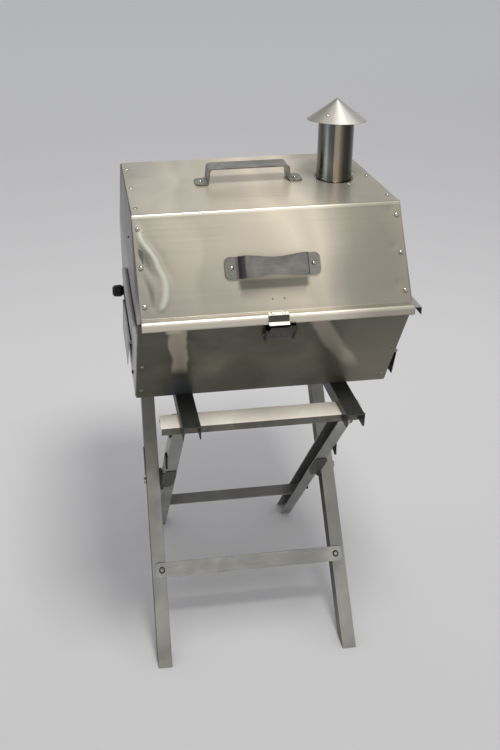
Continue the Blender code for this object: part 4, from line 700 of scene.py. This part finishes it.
def smoothAlong(points, place, window=0.009):
    return sum(along(points, place + window * step / 2) for step in range(-2, 3)) / 5


def cutHole(bm, centre, radius, level):
    # Opens a round hole in the flat part of a sheet and pulls its edge to the circle.
    def reach(vert):
        return math.hypot(vert.co.x - centre[0], vert.co.y - centre[1])

    flat = {vert for vert in bm.verts if vert.co.z > level and reach(vert) < radius + 0.0012}
    bmesh.ops.delete(bm, geom=list(flat), context="VERTS")
    for vert in bm.verts:
        if vert.is_boundary and vert.co.z > level and reach(vert) < radius + 0.009:
            stretch = radius / reach(vert)
            vert.co.x = centre[0] + (vert.co.x - centre[0]) * stretch
            vert.co.y = centre[1] + (vert.co.y - centre[1]) * stretch


def lidSlopeY(height):
    share = (oven["top"] - height) / (oven["top"] - oven["joint"])
    return oven["topHalf"] + share * (oven["jointHalf"] - oven["topHalf"])


def lidSkew(side, point):
    # The front of the real sheet is cut a little askew: how far its side edge stands off there.
    if point.x > -oven["topHalf"] + 0.004:
        return 0.0
    share = min(1.0, (oven["top"] - point.y) / (oven["top"] - oven["joint"]))
    return 0.0015 * (1 - share) if side > 0 else -0.0015 + 0.0065 * share


def makeLidShell():
    size = lidShell
    corners = [(-size["ledgeFront"], size["ledgeHeight"] - size["lip"])]
    corners.append((-size["ledgeFront"], size["ledgeHeight"]))
    corners.append((-lidSlopeY(size["ledgeHeight"]), size["ledgeHeight"]))
    corners += [(-oven["topHalf"], oven["top"]), (oven["topHalf"], oven["top"])]
    backEdge = oven["joint"] + size["rearLift"]
    corners.append((lidSlopeY(backEdge), backEdge))
    radii = (size["ledgeBend"], size["ledgeRoot"], oven["bend"], oven["bend"])
    path = evenPath(roundedPath(corners, radii), size["spacing"])
    start = size["lip"] + (size["ledgeFront"] - lidSlopeY(size["ledgeHeight"]))
    frontLength = lidUp.length

    def shape(x, place):
        down = frontLength - (place - start)
        if place < start + 0.004 or down < 0.006:
            return 0.0, 0.0
        inside = eased((down - 0.006) / 0.02) * eased((place - start - 0.004) / 0.014)
        inside *= eased((oven["wrapHalf"] - abs(x)) / 0.010)
        # Dents beside the left rivets: a winding ridge, a hollow beside it and a short crease below.
        ridge, crease = smoothAlong(size["ridge"], down), smoothAlong(size["crease"], down)
        crest = hump(x, ridge, size["ridgeWidth"]) * eased((down - 0.02) / 0.04)
        hollow = hump(x, ridge - size["hollowAside"], size["hollowWidth"]) * hump(down,
                                                                                  *size["hollowPlace"])
        fold = hump(x, crease, size["creaseWidth"]) * hump(down, *size["creasePlace"])
        outer = hump(x, ridge + 0.015, 0.007) * hump(down, 0.105, 0.040)
        wide, tall = size["smallDentWidth"]
        small = sum(hump(x, size["smallDentX"], wide) * hump(down, spot,
                                                             tall) for spot in size["smallDents"])
        push = size["ridgeHeight"] * (crest - 0.35 * outer) - size["hollowDepth"] * (hollow + 0.8 * fold)
        push -= size["smallDentDepth"] * small
        wide = math.sin(x * 17 + 1.3) * math.sin(down * 19 + 0.4)
        # The tone paints light on the ridge and shade in the hollow, the crease and the small dents.
        paintedShade = inside * (crest - 0.9 * hollow - 0.8 * fold - 0.3 * outer - 0.35 * small)
        return inside * (push + (wide - 1) * size["waviness"]), paintedShade

    bm = shellGrid(path, oven["wrapHalf"], size["columns"], shape, lidSkew)
    cutHole(bm, chimneySpot, chimney["hole"], oven["top"] - 0.001)
    shell = pieceFrom("lidSheet", bm, finish["lid"], "lid", ["lid_shell"], angle=60)
    return thickened(shell, oven["sheet"], finish["shade"])


tubShell = {"columns": 150, "spacing": 0.004, "waviness": 0.00045}


def makeTubShell():
    size = tubShell
    corners = [(oven["jointHalf"], oven["joint"]), (oven["bottomHalf"], oven["bottom"])]
    corners += [(-oven["bottomHalf"], oven["bottom"]), (-oven["jointHalf"], oven["joint"])]
    path = evenPath(roundedPath(corners, (oven["bend"], oven["bend"])), size["spacing"])
    total = sum((end - start).length for start, end in zip(path, path[1:]))

    def shape(x, place):
        down = total - place
        if down < 0.004 or down > tubUp.length - 0.01:
            return 0.0, 0.0
        inside = eased((down - 0.004) / 0.02) * eased((tubUp.length - 0.01 - down) / 0.02)
        wide = math.sin(x * 21 + 0.7) * math.sin(down * 15 + 0.8)
        bulge = hump(x, -0.16, 0.03) * hump(down, 0.10, 0.06) - hump(x, 0.13, 0.05) * hump(down, 0.09, 0.07)
        return inside * ((wide + bulge) * size["waviness"] - 2 * size["waviness"]), 0.0

    bm = shellGrid(path, oven["wrapHalf"], size["columns"], shape)
    shell = pieceFrom("tubSheet", bm, finish["tub"], "oven", ["tub_shell"], angle=60)
    return thickened(shell, oven["sheet"], finish["shade"])


makeLidShell()
makeTubShell()
print("wrapped sheets made")


# Chimney

cap = {"radius": 0.058, "rim": 1.160, "rise": 0.044, "sheet": 0.0012, "tilt": math.radians(6.0),
       "stayWidth": 0.012, "stayAngles": (225, 345, 105), "stayOverlap": 0.020, "rivetCircle": 0.040}
pipe = {"bottom": 1.0202, "top": 1.1625, "seamWidth": 0.0045, "seamRise": 0.0005}


def makePipe():
    # Rolled pipe with a lapped seam that stands a little proud and wanders slightly.
    centre = Matrix.Translation((chimney["x"], chimney["y"], 0))
    bm = bmesh.new()
    segments, rows = 96, 24
    outer, inner = [], []
    for row in range(rows + 1):
        height = pipe["bottom"] + (pipe["top"] - pipe["bottom"]) * row / rows
        wander = 0.0006 * math.sin(height * 90) + 0.0003 * math.sin(height * 310)
        ringOut, ringIn = [], []
        for step in range(segments):
            angle = math.tau * step / segments + chimney["facing"]
            arc = chimney["radius"] * math.remainder(math.tau * step / segments, math.tau)
            beside = abs(arc - 0.001 - wander) - pipe["seamWidth"] / 2
            lap = 0.5 - 0.5 * math.tanh(beside * 4500)
            radius = chimney["radius"] - pipe["seamRise"] * (1 - lap)
            direction = Vector((math.cos(angle), math.sin(angle), 0))
            ringOut.append(bm.verts.new(centre @ (direction * radius + Vector((0, 0, height)))))
            wall = chimney["radius"] - chimney["wall"]
            ringIn.append(bm.verts.new(centre @ (direction * wall + Vector((0, 0, height)))))
        outer.append(ringOut)
        inner.append(ringIn)
    for rings, flip in ((outer, False), (inner, True)):
        for ring, following in zip(rings, rings[1:]):
            for step in range(segments):
                after = (step + 1) % segments
                corners = [ring[step], ring[after], following[after], following[step]]
                bm.faces.new(corners[::-1] if flip else corners)
    for ringOut, ringIn in ((outer[0], inner[0]), (outer[-1], inner[-1])):
        for step in range(segments):
            after = (step + 1) % segments
            bm.faces.new((ringOut[step], ringIn[step], ringIn[after], ringOut[after]))
    pieceFrom("pipe", bm, finish["pipe"], "lid", ["chimney_pipe"], angle=30)


def capMatrix():
    # The cap sits a little askew on its three strips, front edge up.
    axis = Vector((-math.sin(chimney["facing"]), math.cos(chimney["facing"]), 0))
    lift = Matrix.Translation((chimney["x"], chimney["y"], cap["rim"]))
    return lift @ Matrix.Rotation(-cap["tilt"], 4, axis)


def makeCap():
    matrix = capMatrix()
    slope = math.hypot(cap["radius"], cap["rise"])
    bm = bmesh.new()
    profile = [(0, cap["rise"]), (0.0025, cap["rise"] - 0.0012)]
    for share in (0.2, 0.4, 0.6, 0.8, 0.93):
        profile.append((cap["radius"] * share, cap["rise"] * (1 - share) - 0.0001))
    profile += [(cap["radius"] - 0.0008, 0.0007), (cap["radius"], 0.0)]
    inward = cap["sheet"] * slope / cap["radius"]
    profile += [(cap["radius"] - 0.0007, -0.0007), (cap["radius"] * 0.93, cap["rise"] * 0.07 - inward)]
    profile += [(cap["radius"] * 0.5, cap["rise"] * 0.5 - inward), (0, cap["rise"] - inward)]
    turnedMesh(bm, profile, matrix, 96)
    pieceFrom("cap", bm, finish["cap"], "lid", ["chimney_cap"], angle=30)


def makeCapStays():
    matrix = capMatrix()
    inverse = matrix.inverted()
    inward = cap["sheet"] * math.hypot(cap["radius"], cap["rise"]) / cap["radius"] + 0.0006

    def underCap(x, y):
        height = cap["rim"] + cap["rise"] / 2
        for step in range(6):
            local = inverse @ Vector((x, y, height))
            reach = math.hypot(local.x, local.y)
            target = cap["rise"] * (1 - reach / cap["radius"]) - inward
            height += target - local.z
        return height

    for number, degrees in enumerate(cap["stayAngles"]):
        angle = math.radians(degrees)
        bm = bmesh.new()
        face = chimney["radius"] - chimney["wall"] - 0.0022
        tips = []
        for radius in (face, chimney["radius"] + 0.005, chimney["radius"] + 0.012):
            tips.append((radius, underCap(chimney["x"] + radius * math.cos(angle),
                                          chimney["y"] + radius * math.sin(angle))))
        corners = [(face, pipe["top"] - cap["stayOverlap"])] + tips
        path = roundedPath(corners[:2] + corners[3:], (0.003,), 4)
        spin = planeFrame((chimney["x"], chimney["y"], 0), (math.cos(angle), math.sin(angle), 0), (0, 0, 1))
        normals = pathNormals(path)
        outline = list(path) + [point + normal * 0.0011 for point, normal in zip(path, normals)][::-1]
        slabMesh(bm, outline, -cap["stayWidth"] / 2, cap["stayWidth"] / 2, spin)
        piece = pieceFrom(f"capStay{number + 1}", bm, finish["keeper"], "lid",
                          [f"cap_stay_{number + 1}"])
        bevelled(piece, 0.0003)


makePipe()
makeCap()
makeCapStays()
print("chimney made")


# Strap handles

def strapMesh(bm, path, widths, thickness, matrix):
    # Flat bar along (along, out) points, with its width at each of them.
    normals = pathNormals(path)
    sections = []
    for point, normal, width in zip(path, normals, widths):
        top = point + normal * thickness
        section = []
        for spot, side in ((point, -1), (point, 1), (top, 1), (top, -1)):
            section.append(bm.verts.new(matrix @ Vector((spot.x, side * width / 2, spot.y))))
        sections.append(section)
    bm.faces.new(sections[0])
    bm.faces.new(sections[-1][::-1])
    for section, following in zip(sections, sections[1:]):
        for side in range(4):
            after = (side + 1) % 4
            bm.faces.new((section[side], following[side], following[after], section[after]))
    return bm


def footWidth(place, tip, radius, width):
    # Width of a strap near its rounded end.
    inset = abs(place - tip)
    if inset >= radius:
        return width
    return width - 2 * radius + 2 * math.sqrt(radius ** 2 - (radius - inset) ** 2)


topHandle = {"left": -0.111, "right": 0.105, "legLeft": -0.085, "legRight": 0.077, "height": 0.035,
             "slant": 0.003, "width": 0.040, "bar": 0.003, "bend": 0.0045, "corner": 0.010, "rivetInset": 0.012}
frontHandle = {"left": -0.088, "right": 0.087, "legLeft": -0.061, "legRight": 0.062, "height": 0.031,
               "slant": 0.006, "width": 0.040, "bar": 0.003, "bend": 0.0038, "corner": 0.010,
               "waist": 0.0050, "drop": 0.104, "rivetInset": 0.0125}


def makeHandle(name, size, matrix, node):
    seat = 0.0003
    out = size["height"] - size["bar"]
    corners = [(size["left"], seat), (size["legLeft"], seat), (size["legLeft"] + size["slant"], out)]
    corners += [(size["legRight"] - size["slant"], out), (size["legRight"], seat), (size["right"], seat)]
    path = evenPath(roundedPath(corners, [size["bend"]] * 4, 8), 0.003)
    tips = []
    for tip, direction in ((size["left"], 1), (size["right"], -1)):
        for share in (0.02, 0.1, 0.25, 0.5):
            tips.append(Vector((tip + direction * size["corner"] * share, seat)))
    path = sorted(path[:6] + tips[:4], key=lambda p: p.x) + path[6:-6]
    path += sorted([point for point in tips[4:]] + list(evenPath([Vector((size["legRight"] + 0.008, seat)),
                                                                   Vector((size["right"], seat))], 0.003)),
                   key=lambda p: p.x)
    widths = []
    low, high = size["legLeft"] + size["slant"], size["legRight"] - size["slant"]
    for point in path:
        width = min(footWidth(point.x, size["left"], size["corner"], size["width"]),
                    footWidth(point.x, size["right"], size["corner"], size["width"]))
        share = (point.x - low) / (high - low)
        if 0 < share < 1 and "waist" in size:
            width -= 2 * size["waist"] * math.sin(math.pi * share) ** 2
        widths.append(max(width, 0.004))
    bm = strapMesh(bmesh.new(), path, widths, size["bar"], matrix)
    piece = pieceFrom(name, bm, finish["handle"], "lid", [node], angle=50)
    bevelled(piece, 0.0008, 2, 50)


frontHandleFace = lidFace @ Matrix.Translation((0, -frontHandle["drop"], 0))
makeHandle("topHandle", topHandle, lidTop, "top_handle")
makeHandle("frontHandle", frontHandle, frontHandleFace, "front_handle")
print("handles made")


# Rivets on sheets, handles and stand

rivets = {"radius": 0.0047, "height": 0.0024, "edge": 0.009, "finish": finish["rivet"]}
smallRivets = {"radius": 0.0034, "height": 0.0019, "finish": finish["rivet"], "seed": 5, "lift": 0.0}
tubRivets = {"radius": 0.0042, "height": 0.0016, "finish": finish["smallRivet"], "seed": 7}


def makeRivets():
    tree = rivetTree()
    across = oven["wrapHalf"] - rivets["edge"]
    slope = lidUp.length
    lidSpots, tubSpots = [], []
    for side in (-1, 1):
        for share in (0.135, 0.49, 0.845):
            point = Vector((-1, oven["top"] - share * (oven["top"] - oven["joint"])))
            lidSpots.append((lidFace, side * across + lidSkew(side, point), -slope * share))
            lidSpots.append((lidBack, side * across, -slope * share))
        for share in (0.11, 0.475, 0.85):
            lidSpots.append((lidTop, side * across, oven["topHalf"] * (2 * share - 1)))
        for share in (0.55, 0.895):
            tubSpots.append((tubFace, side * across, -tubUp.length * share))
            tubSpots.append((tubBack, side * across, -tubUp.length * share))
    rivetsAt("lidRivets", lidSpots, tree, rivets, "lid")
    rivetsAt("tubRivets", tubSpots, tree, tubRivets, "oven")
    chimneySpots = []
    for quarter in range(4):
        angle = math.radians(20 + 90 * quarter)
        chimneySpots.append((lidTop, chimney["x"] + chimney["rivetCircle"] * math.cos(angle),
                             chimney["y"] + chimney["rivetCircle"] * math.sin(angle)))
    rivetsAt("chimneyRivets", chimneySpots, tree, smallRivets, "lid")
    handleSpots = []
    for size, face in ((topHandle, lidTop), (frontHandle, frontHandleFace)):
        for x in (size["left"] + size["rivetInset"], size["right"] - size["rivetInset"]):
            handleSpots.append((face @ Matrix.Translation((0, 0, size["bar"] + 0.0003)), x, 0.0))
    rivetsAt("handleRivets", handleSpots, tree, dict(rivets, radius=0.0042), "lid")
    capSpots = []
    matrix = capMatrix()
    for degrees in cap["stayAngles"]:
        angle = math.radians(degrees)
        circle = cap["rivetCircle"]
        local = Vector((math.cos(angle) * circle, math.sin(angle) * circle, 0))
        local.z = cap["rise"] * (1 - circle / cap["radius"])
        out = Vector((math.cos(angle) * cap["rise"], math.sin(angle) * cap["rise"],
                      cap["radius"])).normalized()
        side = Vector((-math.sin(angle), math.cos(angle), 0))
        capSpots.append((matrix @ planeFrame(local, side, out.cross(side)), 0.0, 0.0))
    rivetsAt("capRivets", capSpots, tree, dict(smallRivets, radius=0.0036), "lid")
    return tree


domeRivets = makeRivets()
print("rivets made")


# Pieces whose shape is right in the CAD: rounded edges and their finish

def facesUp(normal, centre):
    return normal.z > 0.5


def facesInward(normal, centre):
    return normal.x * centre.x < -0.5 * abs(centre.x) or normal.z < -0.7


def legFlank(normal, centre):
    return abs(normal.x) > 0.5


def legInside(normal, centre):
    # Inner face of the web and the faces that look into the channel of an inner leg.
    return normal.x * centre.x < -0.5 * abs(centre.x) and abs(centre.x) > 0.16


def facesFront(normal, centre):
    return normal.y < -0.5


softened = (
    ("side", 0.0005, ("lid_side_left", "lid_side_right", "tub_side_left", "tub_side_right",
                      "vent_disc"), None, None),
    ("side", 0.0004, ("side_ledge_left", "side_ledge_right"), "shade", facesInward),
    ("side", 0.0003, ("air_flap_left", "air_flap_right", "flap_rod_left", "flap_rod_right"),
     "shade", facesInward),
    # The flanks of the outer legs take the painted shade copy of their steel.
    ("leg", 0.0012, ("leg_a_left", "leg_a_right"), "shadedLegFlank", legFlank),
    ("innerLeg", 0.0010, ("leg_b_left", "leg_b_right"), "shade", legInside),
    ("bar", 0.0006, ("rear_lower_bar", "rear_tube", "front_lower_bar"), None, None),
    # The front cross bar: painted light on top, painted shade on its front faces.
    ("paintedLight", 0.0006, ("front_crossbar",), "lip", facesFront),
    ("rail", 0.0008, ("rail_left", "rail_right"), None, None),
    ("latch", 0.0005, ("latch_base", "latch_lever"), None, None),
    # The keeper's upward faces take the painted light finish.
    ("keeper", 0.0004, ("latch_keeper", "latch_pin"), "paintedLight", facesUp),
    ("inside", 0.0003, ("hinge_lid_leaf_left", "hinge_lid_leaf_right", "hinge_tub_leaf_left",
                        "hinge_tub_leaf_right", "hinge_pin_left", "hinge_pin_right", "grate_rest_left",
                        "grate_rest_right", "chimney_collar"), None, None),
    ("tray", 0.0004, ("charcoal_tray",), None, None),
    ("grate", 0.0006, ("cooking_grate",), None, None),
    ("rivet", 0.0008, ("pivot_bolt_left", "pivot_bolt_right"), None, None),
    ("blackBolt", 0.0006, ("top_hinge_bolt_left", "top_hinge_bolt_right"), None, None),
    ("spacer", 0.0010, ("pivot_spacer_left", "pivot_spacer_right"), None, None),
    ("knob", 0.0012, ("vent_knob",), None, None),
)
for finishName, width, nodeNames, otherName, isOther in softened:
    for nodeName in nodeNames:
        softenedNode(nodeName, finish[finishName], width, 2, finish.get(otherName), isOther)
print("CAD pieces softened")


# Small fittings of the stand and the sides

stand = {"pivotY": 0.044, "pivotZ": 0.306, "hingeY": -0.162, "hingeZ": 0.6094, "tubeY": 0.2424, "tubeZ": 0.6144,
         "depth": 0.030, "outerWeb": 0.181, "boltReach": 0.0054, "plate": 0.002, "strip": 0.0028}


def standFrame(side, towards, reach):
    # x along a leg from the pivot, y out of the leg's front, z out to the side, at that reach.
    pivot = Vector((0, stand["pivotY"], stand["pivotZ"]))
    run = (Vector((0, *towards)) - pivot).normalized()
    front = Vector((0, -abs(run.z), -run.y if run.y > 0 else run.y))
    return matrixOf(run, front, Vector((side, 0, 0)), pivot + Vector((side * reach, 0, 0)))


def makeStandFittings():
    hinge, tube = (stand["hingeY"], stand["hingeZ"]), (stand["tubeY"], stand["tubeZ"])
    bm = bmesh.new()
    for side in (-1, 1):
        matrix = standFrame(side, hinge, stand["outerWeb"])
        for place, depth, radius in ((-0.135, 0.010, 0.0062), (0.066, 0.012, 0.0055),
                                     (0.322, 0.008, 0.0070)):
            spot = matrix @ Matrix.Translation((place, depth, 0))
            reach = stand["boltReach"]
            head = [(radius, 0), (radius, reach - 0.0012), (radius - 0.0012, reach), (0, reach)]
            turnedMesh(bm, head, spot, 6)
        # A stop tab that points down past the front of the leg.
        tab = [(0.186, 0.000), (0.188, 0.012), (0.176, 0.020),
               (0.166, 0.0285), (0.161, 0.014), (0.160, 0.000)]
        slabMesh(bm, tab, 0.0, 0.0045, matrix)
    bevelled(pieceFrom("standBolts", bm, finish["blackBolt"], "stand_b"), 0.0004)
    bm = bmesh.new()
    for side in (-1, 1):
        matrix = standFrame(side, hinge, 0.0)
        half = stand["depth"] / 2 + 0.0002
        outline = [(0.104, 0.157), (0.104, 0.180), (0.086, 0.1862), (0.010, 0.1862), (-0.008, 0.180),
                   (-0.008, 0.166), (0.016, 0.1575), (0.060, 0.1555)]
        plate = matrix @ Matrix(((1, 0, 0, 0), (0, 0, 1, 0), (0, 1, 0, 0), (0, 0, 0, 1)))
        slabMesh(bm, outline, half, half + stand["plate"], plate)
    bevelled(pieceFrom("pivotPlates", bm, finish["spacer"], "stand_b"), 0.0005)
    # A thin lock strip on the outer side of each outer leg, above the pivot.
    bm = bmesh.new()
    for side in (-1, 1):
        matrix = standFrame(side, tube, 0.2180)
        tip = [(0.025 - 0.005 * math.sin(step * math.pi / 8), 0.008 - 0.005 * math.cos(step * math.pi / 8))
               for step in range(9)]
        slabMesh(bm, tip + [(0.074, 0.013), (0.074, 0.003)], 0.0, stand["strip"], matrix)
    bevelled(pieceFrom("lockStrips", bm, finish["lip"], "stand_a"), 0.0005)


def makeRings(name, spots, inner, outer, body, height=0.0004):
    # Dark rings of painted shade round the rivet heads.
    bm = bmesh.new()
    for face, x, y in spots:
        matrix = face @ Matrix.Translation((x, y, 0))
        turnedMesh(bm, [(inner, 0), (outer, 0), (outer, height), (inner, height)], matrix, 24, closed=True)
    pieceFrom(name, bm, finish["shade"], body)


def makeSmallRivets(tree):
    low, high = (Vector(corner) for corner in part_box("front_lower_bar"))
    run = Vector((0, stand["tubeY"] - stand["pivotY"], stand["tubeZ"] - stand["pivotZ"])).normalized()
    bar = planeFrame((low + high) / 2, (1, 0, 0), run) @ Matrix.Translation((0, 0, 0.0015))
    spots = [(bar, side * 0.197, 0.0) for side in (-1, 1)]
    rivetsAt("barRivets", spots, tree, dict(rivets, radius=0.0048, height=0.0020), "stand_a")
    makeRings("barRings", spots, 0.0044, 0.0068, "stand_a")
    leftSide = planeFrame((-oven["halfWidth"], 0, 0), (0, -1, 0), (0, 0, 1))
    rivetsAt("lidSideRivet", [(leftSide, 0.074, 0.965)], tree,
             dict(smallRivets, radius=0.0030, finish=finish["blackBolt"]), "lid")
    rivetsAt("tubSideScrew", [(leftSide, 0.096, 0.684)], tree,
             dict(smallRivets, radius=0.0045, height=0.0034,
                  finish=finish["blackBolt"]), "oven")
    spots = []
    for side in (-1, 1):
        web = standFrame(side, (stand["hingeY"], stand["hingeZ"]), stand["outerWeb"] - 0.0021)
        spots.append((web @ Matrix.Rotation(math.pi, 4, "X"), -0.345, 0.004))
    rivetsAt("footRivets", spots, tree, dict(smallRivets, radius=0.0042), "stand_b")
    across = oven["wrapHalf"] - rivets["edge"]
    rings = [(tubFace, side * across, -tubUp.length * share) for side in (-1, 1) for share in (0.55, 0.895)]
    makeRings("tubRings", rings, 0.0030, 0.0056, "oven", 0.0003)
    keeperTop = planeFrame((0, 0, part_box("latch_keeper")[1][2] - 0.0019), (1, 0, 0), (0, 1, 0))
    spots = [(keeperTop, x, -0.2465) for x in (-0.011, 0.010)]
    keeperHeads = dict(smallRivets, radius=0.0030, height=0.0017)
    rivetsAt("keeperRivets", spots, tree, keeperHeads, "lid")
    pits = [(lidFace, x, -0.162) for x in (-0.006, 0.016)]
    rivetsAt("lidPits", pits, tree, dict(smallRivets, radius=0.0014, height=0.0004, finish=finish["lip"]),
             "lid")


makeStandFittings()
makeSmallRivets(domeRivets)
print("small fittings made")


# Floor, light and camera

studio = {"floorRadius": 40.0, "near": (0.55, 0.55, 0.562), "middle": (0.72, 0.72, 0.732),
          "far": (0.78, 0.785, 0.80)}


def makeFloor():
    material, tree, shader = newMaterial("floorPaper")
    shader.inputs["Roughness"].default_value = 0.9
    shader.inputs["Specular IOR Level"].default_value = 0.1
    coords = nodeOf(tree, "ShaderNodeTexCoord").outputs["Object"]
    x, y, z = axesOf(tree, coords)
    colour = blendColour(tree, spread(tree, y, -0.8, 1.2, smooth=True), (*studio["near"], 1),
                         (*studio["middle"], 1))
    colour = blendColour(tree, spread(tree, y, 2.0, 7.0, smooth=True), colour, (*studio["far"], 1))
    tree.links.new(colour, shader.inputs["Base Color"])
    bm = bmesh.new()
    ring = [bm.verts.new((studio["floorRadius"] * math.cos(math.tau * step / 64),
                          studio["floorRadius"] * math.sin(math.tau * step / 64), 0)) for step in range(64)]
    bm.faces.new(ring)
    mesh = bpy.data.meshes.new("floor")
    bm.to_mesh(mesh)
    bm.free()
    mesh.materials.append(material)
    placed("floor", mesh)


def makeWorld():
    world = bpy.data.worlds.new("studio")
    bpy.context.scene.world = world
    world.use_nodes = True
    tree = world.node_tree
    background = tree.nodes["Background"]
    direction = nodeOf(tree, "ShaderNodeTexCoord").outputs["Generated"]
    height = nodeOf(tree, "ShaderNodeSeparateXYZ", {0: direction}).outputs[2]
    stops = [(0.0, (0.70, 0.70, 0.72)), (0.20, (0.92, 0.92, 0.92)), (0.55, (0.92, 0.92, 0.92)),
             (0.78, (0.52, 0.52, 0.53)), (1.0, (0.40, 0.40, 0.42))]
    drift = nodeOf(tree, "ShaderNodeTexNoise",
                   {"Vector": direction, "Scale": 3.2, "Detail": 0.0}).outputs[0]
    shade = spread(tree, drift, 0.32, 0.68, 0.80, 1.12, smooth=True)
    shade = nodeOf(tree, "ShaderNodeCombineColor", {0: shade, 1: shade, 2: shade}).outputs[0]
    sky = blendColour(tree, 1.0, rampOf(tree, height, stops), shade, "MULTIPLY")
    tree.links.new(sky, background.inputs[0])
    background.inputs[1].default_value = 0.90


def addLamp(name, spot, target, width, height, power, colour):
    lamp = bpy.data.lights.new(name, "AREA")
    lamp.shape = "RECTANGLE"
    lamp.size = width
    lamp.size_y = height
    lamp.energy = power
    lamp.color = colour
    holder = placed(name, lamp)
    holder.location = spot
    holder.rotation_euler = (Vector(target) - Vector(spot)).to_track_quat("-Z", "Y").to_euler()


def makeLamps():
    addLamp("keySoftbox", (0.16, -0.92, 3.20), (0, -0.1, 0.9), 0.60, 0.60, 52, (1.0, 0.98, 0.95))


cameraFit = {
    "place": (-0.33667, -1.45711, 1.57799),
    "right": (0.99472, -0.10081, -0.01877),
    "forward": (0.0914, 0.9546, -0.2834),
    "focalPixels": 785.82, "centreX": 150.41, "centreY": 134.31,
    "imageWidth": 500, "imageHeight": 750,
}


def makeCamera():
    size = cameraFit
    back = -Vector(size["forward"]).normalized()
    right = Vector(size["right"])
    right = (right - back * right.dot(back)).normalized()
    up = back.cross(right)
    camera = bpy.data.cameras.new("photoCamera")
    holder = placed("photoCamera", camera)
    holder.matrix_world = matrixOf(right, up, back, Vector(size["place"]))
    camera.sensor_width = 36
    camera.lens = size["focalPixels"] * 36 / size["imageHeight"]
    camera.shift_x = (size["imageWidth"] / 2 - size["centreX"]) / size["imageHeight"]
    camera.shift_y = (size["centreY"] - size["imageHeight"] / 2) / size["imageHeight"]
    camera.clip_end = 100
    bpy.context.scene.camera = holder


makeFloor()
makeWorld()
makeLamps()
makeCamera()
bpy.context.scene.view_settings.view_transform = "Standard"
print("studio made")
